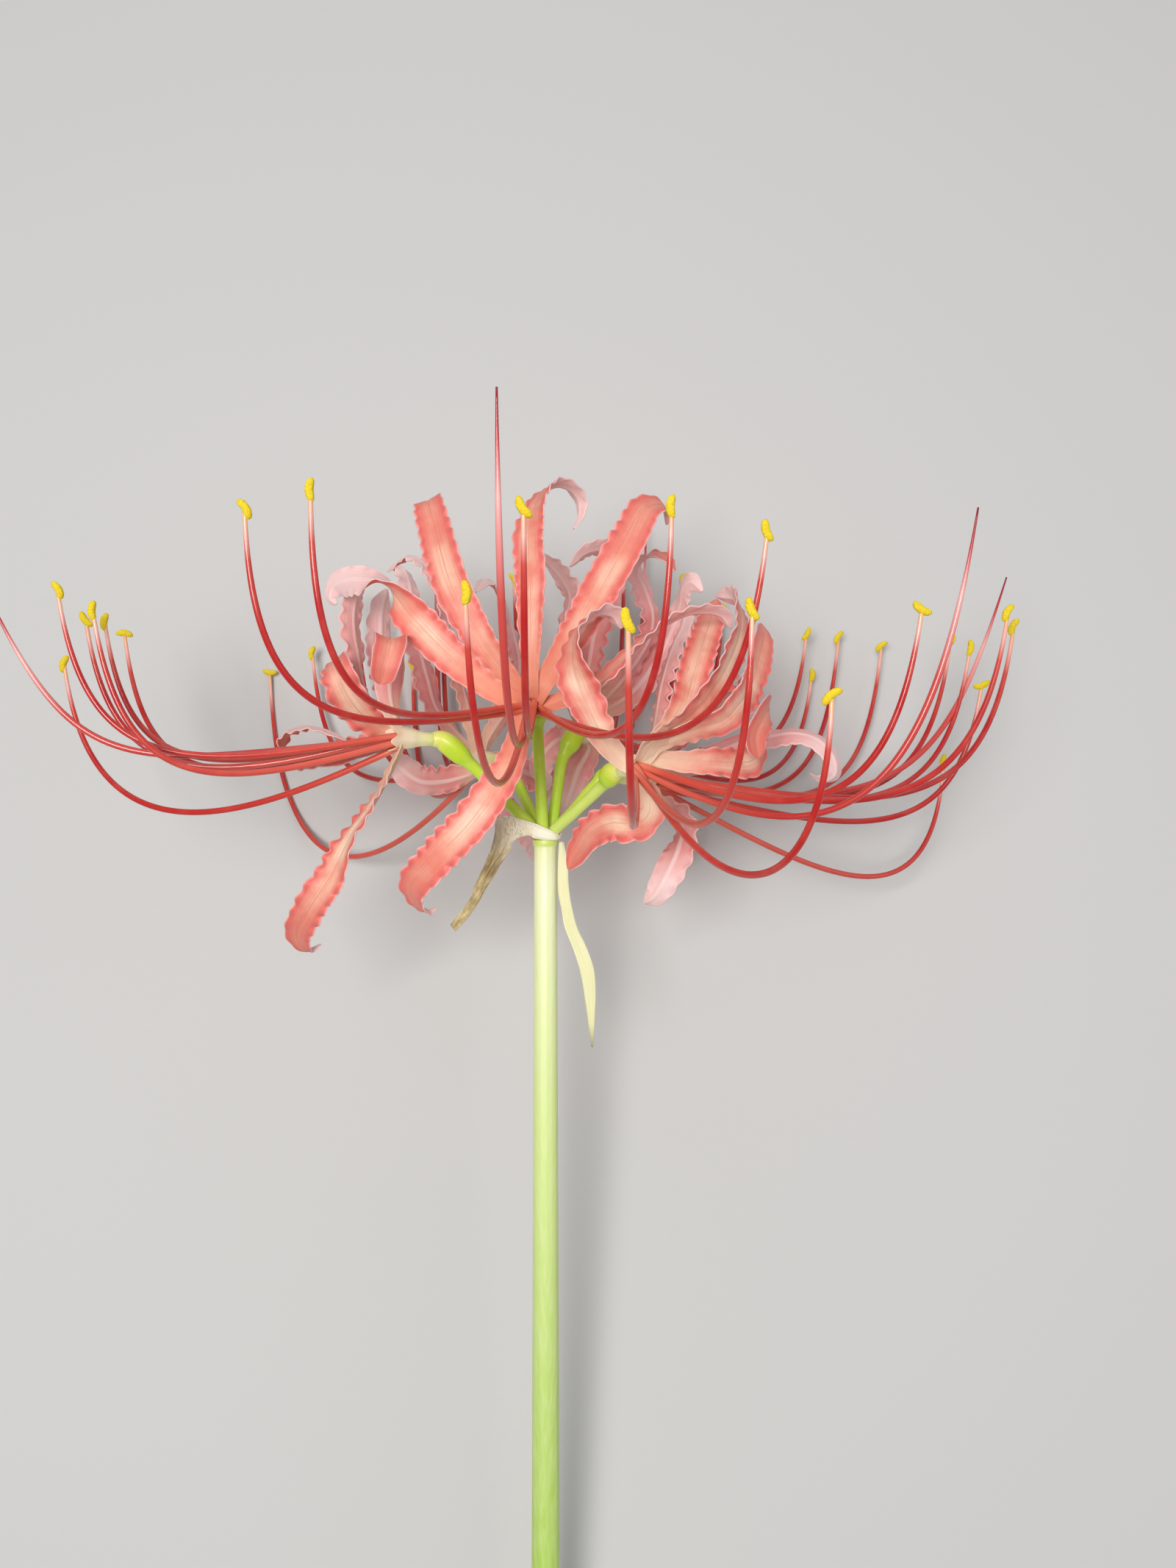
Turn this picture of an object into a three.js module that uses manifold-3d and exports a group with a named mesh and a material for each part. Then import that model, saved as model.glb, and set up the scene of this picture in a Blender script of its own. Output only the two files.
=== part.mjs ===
// Red spider lily, one cut flower laid down on a surface. Millimetres, +Z up.
//
// The plant is drawn in its own frame: the origin is at the top of the stalk, X points to the right,
// Y up along the stalk and Z out of the flower's front. The whole plant is then laid on its back. It
// rests on the cut end of the stalk and on the lowest tepals and anthers of the flower head.

import * as THREE from 'three';
import { mergeVertices } from 'three/addons/utils/BufferGeometryUtils.js';
import Module from 'manifold-3d';

const wasm = await Module();
wasm.setup();

// Stalk
const STALK_LENGTH = 240;
const STALK_TOP_RADIUS = 2.1;
const STALK_FOOT_RADIUS = 3;
const STALK_SIDES = 12;
const RECEPTACLE_RADIUS = 2.7;
const RECEPTACLE_HEIGHT = 3;
const RECEPTACLE_BEVEL = 1;

// Pose on the surface
const LAID_TILT = THREE.MathUtils.degToRad(9.6);
const HEAD_HEIGHT = STALK_LENGTH * Math.sin(LAID_TILT) + STALK_FOOT_RADIUS * Math.cos(LAID_TILT);

// Floret: pedicel, ovary and tube in a row behind the throat
const PEDICEL_RADII = [1.1, 1.1, 1.05, 1, 1.05];
const PEDICEL_SPREAD = 1.1;
const PEDICEL_SIDES = 8;
const OVARY_RADII = [1.2, 1.75, 1.95, 1.8, 1.3];
const OVARY_NECK = 1.5;
const TUBE_LENGTH = 4.6;
const TUBE_FOOT_RADIUS = 1.2;
const TUBE_SIDES = 8;
const THROAT_RADIUS = 1.8;
const NODE_GAP = 0.3;

// Tepals
const TEPAL_THICKNESS = 0.7;
const TEPAL_STEPS = 16;
const TEPAL_TIP_CROWDING = 1.3;
const TEPAL_GUTTER = 0.16;
const TEPAL_WAVE = 0.55;
const TEPAL_WAVE_START = 0.25;
const TEPAL_ROOT_DEPTH = 1;
const TEPAL_ROOT_RADIUS = 1.2;

// Stamens and style
const FILAMENT_RADIUS = 0.65;
const FILAMENT_TIP_RADIUS = 0.45;
const FILAMENT_STEPS = 10;
const FILAMENT_SIDES = 3;
const STYLE_TIP_RADIUS = 0.35;
const HUB_RADIUS = 0.95;
const HUB_HEIGHT = 1.4;
const HUB_SIDES = 6;
const FILAMENT_ROOT_HEIGHT = 1;
const ANTHER_LENGTH = 3.2;
const ANTHER_RADIUS = 0.75;

// Bracts
const BRACT_THICKNESS = 0.7;
const BRACT_STEPS = 20;
const BRACT_CRUMPLE = 0.2;
const BRACT_CRUMPLE_START = 0.2;

const COLOURS = {
  stalk: '#a9c552',
  tepals: '#dd5a4c',
  stamens: '#b5261f',
  dryBract: '#a88f5c',
  paleBract: '#d9d2a0',
};

// A tepal follows its way points from the throat to its tip, [x, y, z] in the plant's frame. Its blade
// turns about that line, anticlockwise as seen from the throat, by the angles in turns. They are in
// degrees, at even spacing along it, and the last one holds at its tip.
const tepal = (width, turns, ...way) => ({ width, turns, way });

// A stamen or style leaves the throat towards its tip at the launch angle above the horizontal, runs
// out, and rises to the tip, where it leans outwards. The shares out and up of the straight distance
// set how far it keeps each direction. The anther nods to the side on its tip.
const stamen = (tip, launch, { lean = 8, out = 0.62, up = 0.5, nod = 0 } = {}) => ({
  tip, launch, lean, out, up, nod,
});

// Each floret has its throat, the axis it looks along, and the lower end of its ovary.
const FLORETS = [
  {
    name: 'floret_1',
    throat: [-2, 23.5, 13],
    axis: [-0.1, 0.02, 1],
    ovary: [-1.3, 20, 4.5],
    tepals: [
      tepal(5.4, [0, 0, 0, 0, 5, 20, 45, 38, 0, 5], [-2, 27, 15.5], [-2, 43, 16], [-2.3, 54, 12.5],
        [-0.5, 61, 8], [1.9, 63.5, 5], [4.7, 63.6, 2], [6.3, 61.9, 0], [6.4, 59.2, 0], [5.2, 56.6, 1]),
      tepal(6.2, [0, 0, 0], [-6, 28.5, 16], [-10.5, 34.5, 18], [-15.5, 44, 17], [-18.5, 53.5, 13],
        [-20.5, 60, 8], [-20.5, 59, 1]),
      tepal(6.6, [0, 0, 0, 0, 15, 60, 150, 190, 225, 250], [-6, 24.5, 15.5], [-12, 28.5, 17],
        [-17, 33, 18], [-22.5, 39, 18], [-26.9, 44.2, 16], [-30.2, 45, 14], [-34.1, 45.4, 11],
        [-37.2, 44.8, 8], [-38, 42.9, 7], [-36.9, 41.9, 7]),
      tepal(6.6, [0, 0, 0], [-3.5, 20, 15], [-5.5, 13, 19], [-11, 4.5, 21], [-18, -3, 19],
        [-22.5, -8.5, 14], [-20.5, -12.5, 10], [-19, -12, 9]),
      tepal(6.6, [0, 0, 0], [0, 26.5, 15.5], [5, 35, 13], [10.5, 45, 10], [15, 53.5, 7],
        [18.5, 60, 3], [22, 61, -1], [22.5, 58.5, -4]),
      tepal(5.8, [40, 75, 95, 100, 90], [1, 23.5, 14], [8, 26.5, 13], [14.5, 32, 11], [20, 37, 11],
        [26, 40, 10], [31.5, 40, 7], [33.5, 38, 4]),
    ],
    stamens: [
      stamen([-30, 50, 57], -8, { lean: 0, up: 0.6 }),
      stamen([-41, 49, 50], -10, { lean: 2, up: 0.56 }),
      stamen([-0.5, 45.5, 66], -22, { nod: 35 }),
      stamen([-8, 34.5, 66], -42),
      stamen([19, 47, 60], -18, { lean: 2, up: 0.6 }),
      stamen([33, 45.5, 52], -18, { up: 0.56, nod: 25 }),
    ],
    style: stamen([-3.5, 59, 72], -28, { lean: 4 }),
  },
  {
    name: 'floret_2',
    throat: [-24, 18, 10],
    axis: [-1, 0.05, 0.42],
    ovary: [-13.1, 13.4, 6.2],
    tepals: [
      tepal(5.8, [5, 18, 65, 85, 75], [-25, 15.5, 11], [-29, 6, 17], [-32, 1.5, 18], [-35.5, -5.5, 18],
        [-40, -12, 16], [-42.5, -16.5, 12], [-41.5, -19.5, 9], [-39.5, -18.5, 8]),
      tepal(6.2, [0, 0, 0, 20, 20], [-27.5, 19.5, 8], [-31, 21.5, 11], [-33.5, 25, 14.5],
        [-35, 29, 15.5], [-36, 31.2, 12.5], [-35.4, 32, 9.5]),
      tepal(5.6, [30, 60, 75, 75, 75], [-27, 20.5, 6], [-32, 26, 5.5], [-33.8, 33.5, 5],
        [-34.8, 40, 3.5], [-34.3, 45.5, 2], [-34.3, 49, -4]),
      tepal(5.6, [25, 55, 70, 70, 65], [-27, 21, 3], [-29.5, 28.5, -1], [-31, 35.5, -4],
        [-31.2, 42.5, -5.5], [-30.5, 47, -8]),
      tepal(5.4, [70, 95, 98, 100, 112], [-25.4, 20.6, 12], [-26.3, 24.5, 13.8], [-26.2, 28.8, 15.4],
        [-26.2, 32, 16.6], [-25.3, 34, 20.3], [-24.7, 32.8, 23.2], [-25.4, 29.6, 24], [-26.3, 26.3, 23.2]),
      tepal(5.4, [0, -20, -72, -31, -15], [-27, 17.5, 5], [-31, 17.2, 2], [-38.6, 15.4, -2],
        [-45.5, 13.6, -4.5], [-49.4, 15.4, -4.5], [-49, 18.6, -3.2], [-45, 20.2, -1], [-40.6, 19.6, 1],
        [-35.9, 17.7, 3]),
    ],
    stamens: [
      stamen([-80, 42, 22], -10, { nod: -20 }),
      stamen([-72.5, 38, 26], -18, { up: 0.56 }),
      stamen([-79, 39, 5], -10, { nod: 15 }),
      stamen([-80.5, 38.5, -8], -12),
      stamen([-88.5, 32, 0], -28, { nod: -25 }),
      stamen([-79.5, 38.5, 12], -15, { nod: 30 }),
    ],
    style: stamen([-93, 42.5, 20], -6, { lean: 24 }),
  },
  {
    name: 'floret_3',
    throat: [16, 12.5, 18],
    axis: [0.55, 0.05, 0.83],
    ovary: [10.6, 9.9, 9],
    tepals: [
      tepal(6.6, [0, 10, 80, 95, 75], [14, 13.5, 19.5], [11, 16.5, 20.5], [7.7, 23, 20], [6.2, 26.7, 20],
        [5.2, 30.8, 20], [5.7, 34.6, 19.5], [7.4, 37.2, 18.5], [9.7, 38.9, 17], [12.2, 38.7, 15],
        [13.5, 36.8, 13]),
      tepal(5.6, [10, 30, 30, 35, 60], [17.5, 15.5, 17], [22, 20, 16], [24.5, 24, 15], [26, 28.5, 12],
        [27.5, 33, 9], [29.5, 38, 3], [31.2, 42.3, -3], [32, 44.8, -6]),
      tepal(6.6, [0, 0, 0], [18, 16.5, 20], [21.5, 19, 23], [25, 21.5, 25], [28, 25, 24],
        [31, 30, 22], [33, 35, 20], [33.5, 39.5, 17], [33, 42, 13], [30.5, 43, 9]),
      tepal(5.8, [0, 10, 25, 35, 40], [19, 16.3, 19.5], [25, 18.8, 23.5], [30, 20.5, 24.5], [32.5, 23, 23.2],
        [35, 26, 18], [37.5, 31.5, 12], [39, 36, 7], [39.5, 39, 2]),
      tepal(5.6, [10, 15, 20, 5, -25, -48, -70, -88], [19, 14, 17], [24, 13.6, 18.2], [28.5, 13.6, 17.8],
        [33, 13.5, 15.5], [36.5, 14.2, 12.6], [38, 17.5, 11.4], [38.4, 21.2, 12.6], [38.6, 22.6, 15.4],
        [37.3, 21, 18], [35.9, 17.8, 18.8], [36.6, 14.4, 18]),
      tepal(6.4, [0, -25, -50, -72, -76, -72, -70, -70, -72], [16, 10, 18], [17.8, 7.8, 18.6],
        [18.2, 5.5, 18.4], [17.1, 3.7, 17.5], [14.8, 3.1, 15.9], [12, 3.2, 13.9], [8.4, 1.3, 10.7],
        [5.8, -2.6, 7.6], [4.3, -5.4, 6.4]),
    ],
    stamens: [
      stamen([12.5, 29, 80], -16, { nod: 20 }),
      stamen([29.5, 33, 62], -30, { lean: 2, up: 0.62, nod: 25 }),
      stamen([40, 21.5, 62], -46, { lean: 2, up: 0.62, nod: -50 }),
      stamen([57.5, 36, 42], -20, { up: 0.56 }),
      stamen([78, 38.5, 20], -15, { nod: -20 }),
      stamen([82.5, 37.5, 10], -10, { nod: 15 }),
    ],
    style: stamen([66.5, 51.5, 40], -28, { lean: 9, up: 0.6 }),
  },
  {
    name: 'floret_4',
    throat: [-12.5, 14.5, -14],
    axis: [-0.72, 0, -0.7],
    ovary: [-6.5, 12, -7.8],
    tepals: [
      tepal(6, [-15, -35, -40, -20, 30], [-14, 18, -14], [-16.5, 28, -12], [-19, 38, -12],
        [-20.9, 46.8, -14], [-22.5, 50.1, -15], [-24.4, 53, -16], [-27.3, 55, -18], [-30.5, 53.9, -20],
        [-32.8, 52.8, -22]),
      tepal(6, [0, 0, 0], [-15.5, 17.5, -17], [-19.5, 21, -19.5], [-23, 25, -22], [-25, 31, -24],
        [-27, 38, -26], [-28.2, 43.8, -27], [-29.5, 51.6, -29], [-31.4, 55.3, -32], [-33.4, 55.3, -36]),
      tepal(6, [0, 0, 0], [-14, 12.5, -14], [-20, 10.5, -12], [-24.5, 10.5, -10], [-28, 13, -9],
        [-30, 15, -12]),
      tepal(6, [0, 0, -10, -35, -80], [-12.5, 18, -18], [-8.5, 26, -24], [-6.5, 33.5, -28], [-8, 41.5, -30],
        [-10.5, 49.5, -30], [-13, 52, -28], [-15, 49, -24]),
      tepal(6, [0, 0, 0], [-12.5, 11.5, -18.5], [-9.8, 6.5, -23], [-7, 2.5, -28.5], [-4, -2, -34],
        [-3, -7, -39]),
      tepal(6, [0, 0, 0], [-10.5, 14.5, -20], [-4.5, 12, -27], [0, 10, -33], [4, 9, -39], [8, 10, -43]),
    ],
    stamens: [
      stamen([-63.5, 35, -48], -44, { lean: 4, up: 0.8 }),
      stamen([-53.5, 39, -46], -14),
      stamen([-31.5, 36.5, -48], -24, { lean: 4, out: 0.7, up: 0.7, nod: 30 }),
      stamen([-43.5, 51, -42], -20, { nod: -20 }),
      stamen([-38, 50, -46], -24),
      stamen([-25, 57, -47], -24, { nod: 20 }),
    ],
    style: stamen([-26, 67, -44], -20),
  },
  {
    name: 'floret_5',
    throat: [7, 20, -12],
    axis: [0.25, 0.1, -1],
    ovary: [3.1, 14.8, -4],
    tepals: [
      tepal(6, [-40, -75, -80, -84, -45], [9, 24, -15], [15, 31, -15], [19.5, 38, -13],
        [20.2, 42.7, -12], [18.7, 47.3, -11], [17.1, 50.9, -9], [19, 53.1, -7], [21.8, 52.1, -4],
        [23.8, 49.3, -1]),
      tepal(6, [15, 35, 45, 20, 30], [5.5, 24, -15], [3.5, 32.5, -15], [3.2, 40, -14], [4.5, 46.2, -12],
        [3, 49.3, -11], [0.7, 52.1, -10], [-1.2, 54, -8]),
      tepal(6, [0, 0, -20, -50, -90], [6.5, 24, -16], [8, 33, -18], [9.5, 41.5, -18], [12, 49.5, -17],
        [13.5, 54, -14], [10.5, 55, -10], [7, 53.5, -6], [4.5, 50.5, -3]),
      tepal(6, [0, 0, 20, 50, 60], [10, 23.5, -13.5], [16, 27.5, -17], [21.5, 34.5, -18],
        [25, 41.5, -17], [26, 45, -15.5], [26.4, 48, -12.5], [27.8, 48.6, -9.8], [29.6, 46.6, -8.2]),
      tepal(6, [0, 0, 0], [8, 17, -15], [6, 13, -17], [4, 7.5, -18], [2.5, 3, -17]),
      tepal(6, [0, 0, 0], [3.5, 19, -14.5], [1.5, 18.5, -19], [-1, 16, -21], [-2, 12.5, -22],
        [-0.5, 8.5, -24]),
    ],
    stamens: [
      stamen([56, 43, -44], -12, { nod: 20 }),
      stamen([57.5, 34, -46], -18),
      stamen([16, 59, -50], -24, { nod: -25 }),
      stamen([29, 55.5, -48], -22),
      stamen([-9, 56, -50], -24, { nod: 30 }),
      stamen([38, 48.5, -47], -20),
    ],
    style: stamen([21, 68, -50], -24),
  },
  {
    name: 'floret_6',
    throat: [17.5, 11, -8],
    axis: [0.92, -0.05, -0.38],
    ovary: [9.2, 9.8, -4.4],
    tepals: [
      tepal(6, [0, 70, 90], [19.5, 7, -7], [23.5, 5, -5], [25.5, 2.5, -3], [24.5, -2, 0],
        [22, -7, 2], [20, -10.5, 1.5], [18, -12, 0]),
      tepal(6, [0, 20, 40, 55, 72], [19.5, 12, -4.5], [28, 14, -3], [36.5, 17.5, -2], [41.5, 18.5, -1],
        [46, 19, 0.5], [50, 17.5, 2.5], [52.3, 13.8, 4], [52, 11.5, 4.5], [50, 10.6, 3.5],
        [48.3, 11.8, 2]),
      tepal(6, [0, 0, 0], [19, 13.5, -8], [20.5, 20.5, -7], [22, 29, -6], [24, 35.5, -6],
        [26, 40, -7], [26.5, 43, -10]),
      tepal(6, [0, 0, 0], [20, 13, -12], [26.5, 19.5, -16], [33.5, 25.5, -20], [39, 31, -22],
        [42, 37, -22]),
      tepal(6, [0, 0, 0], [18, 10.5, -13], [18, 10, -21], [20, 10, -30], [24, 11.5, -38],
        [29, 14, -44], [33, 18, -46]),
      tepal(6, [0, 0, 0], [20, 9, -13], [25, 6, -20], [27.5, 2.5, -27], [28, -3, -32], [25.5, -8, -34]),
    ],
    stamens: [
      stamen([63.5, 42.5, -46], -10, { nod: 15 }),
      stamen([73, 40.5, -46], -10),
      stamen([80.5, 38.5, -20], -10, { nod: -25 }),
      stamen([82.5, 36.5, -14], -10),
      stamen([81.5, 28.5, -4], -15, { nod: 20 }),
      stamen([81.5, 14.5, -28], -28, { lean: 4, up: 0.56 }),
    ],
    style: stamen([90, 50.5, -15], -10, { lean: 18 }),
  },
];

const vector = (point) => new THREE.Vector3(...point);
const PLANT_UP = new THREE.Vector3(0, 1, 0);
const PLANT_RIGHT = new THREE.Vector3(1, 0, 0);
const PLANT_FRONT = new THREE.Vector3(0, 0, 1);

// A direction that no filament or pedicel starts in, from which the corners of a section are laid out.
const FILAMENT_SIDEWAYS = new THREE.Vector3(0.4, 0.2, 0.9);

// Lifts a point of the plant until it is the given clearance above the surface.
function lay(point, clearance) {
  const height = HEAD_HEIGHT + point.y * Math.sin(LAID_TILT) + point.z * Math.cos(LAID_TILT);
  const lift = Math.max(clearance - height, 0);
  point.y += lift * Math.sin(LAID_TILT);
  point.z += lift * Math.cos(LAID_TILT);
  return point;
}

// Joins rings of points into a closed body. Each ring is in order clockwise as seen from the first ring
// to the last. Quads on the second face of a blade are split the other way, so that both faces match.
function loft(rings, isSecondFace = () => false) {
  const size = rings[0].length;
  const positions = rings.flat().flatMap((point) => [point.x, point.y, point.z]);
  const index = [];
  for (let i = 0; i < rings.length - 1; i += 1) {
    for (let j = 0; j < size; j += 1) {
      const a = i * size + j;
      const b = i * size + ((j + 1) % size);
      const [c, d] = [a + size, b + size];
      if (isSecondFace(j)) index.push(a, b, c, b, d, c);
      else index.push(a, b, d, a, d, c);
    }
  }
  const last = (rings.length - 1) * size;
  for (let j = 1; j < size - 1; j += 1) {
    index.push(0, j + 1, j);
    index.push(last, last + j, last + j + 1);
  }
  const geometry = new THREE.BufferGeometry();
  geometry.setAttribute('position', new THREE.Float32BufferAttribute(positions, 3));
  geometry.setIndex(index);
  return geometry;
}

// Turns a closed geometry into a solid, with shared vertices merged and flat triangles dropped.
function solidOf(geometry) {
  geometry.deleteAttribute('normal');
  geometry.deleteAttribute('uv');
  const merged = mergeVertices(geometry, 1e-4);
  const corners = merged.index.array;
  const triVerts = [];
  for (let i = 0; i < corners.length; i += 3) {
    const [a, b, c] = corners.slice(i, i + 3);
    if (a !== b && b !== c && c !== a) triVerts.push(a, b, c);
  }
  return new wasm.Manifold(new wasm.Mesh({
    numProp: 3,
    vertProperties: merged.attributes.position.array,
    triVerts: new Uint32Array(triVerts),
  }));
}

// Joins solids into one body and gives it as a mesh of its own.
function fusedMesh(name, geometries, colour, roughness) {
  const whole = geometries.map(solidOf).reduce((joined, next) => joined.add(next)).getMesh();
  const geometry = new THREE.BufferGeometry();
  geometry.setAttribute('position', new THREE.Float32BufferAttribute(whole.vertProperties, 3));
  geometry.setIndex([...whole.triVerts]);
  geometry.computeVertexNormals();
  const material = new THREE.MeshStandardMaterial({ color: colour, roughness, metalness: 0 });
  const mesh = new THREE.Mesh(geometry, material);
  mesh.name = name;
  return mesh;
}

// Turns a profile of [radius, distance] pairs about an axis that starts at a point.
function turned(profile, start, axis, sides) {
  const geometry = new THREE.LatheGeometry(profile.map((pair) => new THREE.Vector2(...pair)), sides);
  geometry.applyQuaternion(new THREE.Quaternion().setFromUnitVectors(PLANT_UP, axis));
  return geometry.translate(start.x, start.y, start.z);
}

// Centre line with a width direction carried along it without twist, at the given shares of its length.
function carriedFrames(curve, shares, firstWidth) {
  const frames = [];
  let width = firstWidth;
  for (const share of shares) {
    const point = curve.getPointAt(share);
    const along = curve.getTangentAt(share);
    width = width.clone().addScaledVector(along, -width.dot(along)).normalize();
    frames.push({ share, point, along, width, inner: along.clone().cross(width) });
  }
  return frames;
}

// Value at a share of the length, from values at even spacing, with smooth steps between them.
function spread(values, share) {
  const place = share * (values.length - 1);
  const i = Math.min(Math.floor(place), values.length - 2);
  return THREE.MathUtils.lerp(values[i], values[i + 1], THREE.MathUtils.smoothstep(place - i, 0, 1));
}

// Section of a blade: three points on the inner face and three on the outer one. Its edges stand
// towards the inner face by the gutter, a share of its half width, and wave to and fro.
function bladeSection(frame, degrees, halfWidth, thickness, gutter, waves) {
  const turn = -THREE.MathUtils.degToRad(degrees);
  const width = frame.width.clone().applyAxisAngle(frame.along, turn);
  const inner = frame.inner.clone().applyAxisAngle(frame.along, turn);
  const at = (side, height) => frame.point.clone()
    .addScaledVector(width, side * halfWidth)
    .addScaledVector(inner, height);
  const half = thickness / 2;
  const right = gutter * halfWidth + waves[0];
  const left = gutter * halfWidth + waves[1];
  return [at(1, right + half), at(0, half), at(-1, left + half),
    at(-1, left - half), at(0, -half), at(1, right - half)];
}

const isOuterFace = (side) => side === 3 || side === 4;

// Width along a tepal as a share of its full width: a narrow claw, a strap and a blunt tip.
const TEPAL_OUTLINE = [0.44, 0.46, 0.66, 0.85, 0.97, 1, 1, 0.96, 0.9, 0.74, 0.2];

function tepalBlade(floret, { width, turns, way }, order) {
  const throat = vector(floret.throat);
  const axis = vector(floret.axis).normalize();
  const points = way.map((point) => lay(vector(point), TEPAL_THICKNESS));
  const outwards = points[0].clone().sub(throat);
  outwards.addScaledVector(axis, -outwards.dot(axis)).normalize();
  const root = throat.clone()
    .addScaledVector(outwards, TEPAL_ROOT_RADIUS)
    .addScaledVector(axis, -TEPAL_ROOT_DEPTH);
  const curve = new THREE.CatmullRomCurve3([root, ...points]);
  const shares = Array.from({ length: TEPAL_STEPS + 1 },
    (_, i) => 1 - (1 - i / TEPAL_STEPS) ** TEPAL_TIP_CROWDING);
  const frames = carriedFrames(curve, shares, axis.clone().cross(outwards));
  const rings = frames.map((frame, i) => {
    const halfWidth = (width / 2) * spread(TEPAL_OUTLINE, frame.share);
    const strength = Math.min(1, frame.share / TEPAL_WAVE_START) * Math.min(1, halfWidth / 2);
    const swing = TEPAL_WAVE * strength;
    const waves = [swing * (-1) ** i, swing * (-1) ** (i + order)];
    const turn = spread([0, ...turns], frame.share);
    return bladeSection(frame, turn, halfWidth, TEPAL_THICKNESS, TEPAL_GUTTER, waves);
  });
  return loft(rings, isOuterFace);
}

// Short tube behind the throat, wider towards the front.
function floretTube(floret) {
  const axis = vector(floret.axis).normalize();
  const start = vector(floret.throat).addScaledVector(axis, -TUBE_LENGTH);
  const profile = [[0, 0], [TUBE_FOOT_RADIUS, 0], [THROAT_RADIUS, TUBE_LENGTH * 0.75],
    [THROAT_RADIUS, TUBE_LENGTH], [0, TUBE_LENGTH]];
  return turned(profile, start, axis, TUBE_SIDES);
}

// Directions to the corners of a regular polygon.
const corners = (sides) => Array.from({ length: sides }, (_, j) => {
  const angle = (2 * Math.PI * j) / sides;
  return [Math.cos(angle), Math.sin(angle)];
});

// Filament or style: a round section that tapers along a curve.
function taperedLine(curve, tipRadius) {
  const shares = Array.from({ length: FILAMENT_STEPS + 1 }, (_, i) => i / FILAMENT_STEPS);
  const frames = carriedFrames(curve, shares, FILAMENT_SIDEWAYS);
  return loft(frames.map((frame) => {
    const radius = THREE.MathUtils.lerp(FILAMENT_RADIUS, tipRadius, frame.share);
    return corners(FILAMENT_SIDES).map(([x, y]) => frame.point.clone()
      .addScaledVector(frame.width, radius * x)
      .addScaledVector(frame.inner, radius * y));
  }));
}

// Rising curve of a filament or style, kept above the surface.
function risingCurve(floret, { tip, launch, lean, out, up }) {
  const axis = vector(floret.axis).normalize();
  const end = vector(tip);
  const reach = end.clone().sub(vector(floret.throat));
  const root = vector(floret.throat).addScaledVector(axis, FILAMENT_ROOT_HEIGHT);
  const chord = reach.length();
  const heading = reach.setY(0).normalize();
  const direction = (degrees) => {
    const angle = THREE.MathUtils.degToRad(degrees);
    const level = heading.clone().multiplyScalar(Math.cos(angle));
    return level.addScaledVector(PLANT_UP, Math.sin(angle));
  };
  const bezier = new THREE.CubicBezierCurve3(
    root,
    root.clone().addScaledVector(direction(launch), chord * out),
    end.clone().addScaledVector(direction(90 - lean), -chord * up),
    end,
  );
  const points = bezier.getSpacedPoints(FILAMENT_STEPS * 2);
  return new THREE.CatmullRomCurve3(points.map((point) => lay(point, FILAMENT_RADIUS)));
}

// Small blunt sausage on the filament's tip. Its section is square.
function anther(curve, nod) {
  const along = curve.getTangentAt(1).applyAxisAngle(PLANT_FRONT, THREE.MathUtils.degToRad(nod));
  const middle = curve.getPointAt(1);
  const end = (side) => middle.clone().addScaledVector(along, (side * ANTHER_LENGTH) / 2);
  const facesFront = Math.abs(along.z) > 0.9;
  const sideways = facesFront ? PLANT_RIGHT : PLANT_FRONT;
  const frames = carriedFrames(new THREE.LineCurve3(end(-1), end(1)), [0, 0.25, 0.75, 1], sideways);
  const radii = [0.5, 1, 1, 0.5].map((share) => share * ANTHER_RADIUS);
  return loft(frames.map((frame, i) => {
    const centre = lay(frame.point, ANTHER_RADIUS);
    return corners(4).map(([x, y]) => centre.clone()
      .addScaledVector(frame.width, radii[i] * x)
      .addScaledVector(frame.inner, radii[i] * y));
  }));
}

// Small boss in front of the throat that the filaments and the style start from.
function stamenHub(floret) {
  const axis = vector(floret.axis).normalize();
  const start = vector(floret.throat).addScaledVector(axis, NODE_GAP);
  const profile = [[0, 0], [HUB_RADIUS, 0], [HUB_RADIUS, HUB_HEIGHT * 0.7],
    [HUB_RADIUS * 0.6, HUB_HEIGHT], [0, HUB_HEIGHT]];
  return turned(profile, start, axis, HUB_SIDES);
}

function floretMeshes(floret) {
  const blades = floret.tepals.map((each, order) => tepalBlade(floret, each, order));
  const lines = floret.stamens.flatMap((each) => {
    const curve = risingCurve(floret, each);
    return [taperedLine(curve, FILAMENT_TIP_RADIUS), anther(curve, each.nod)];
  });
  const style = taperedLine(risingCurve(floret, floret.style), STYLE_TIP_RADIUS);
  return [
    fusedMesh(`${floret.name}_tepals`, [floretTube(floret), ...blades], COLOURS.tepals, 0.5),
    fusedMesh(`${floret.name}_stamens`, [stamenHub(floret), ...lines, style], COLOURS.stamens, 0.35),
  ];
}

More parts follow.
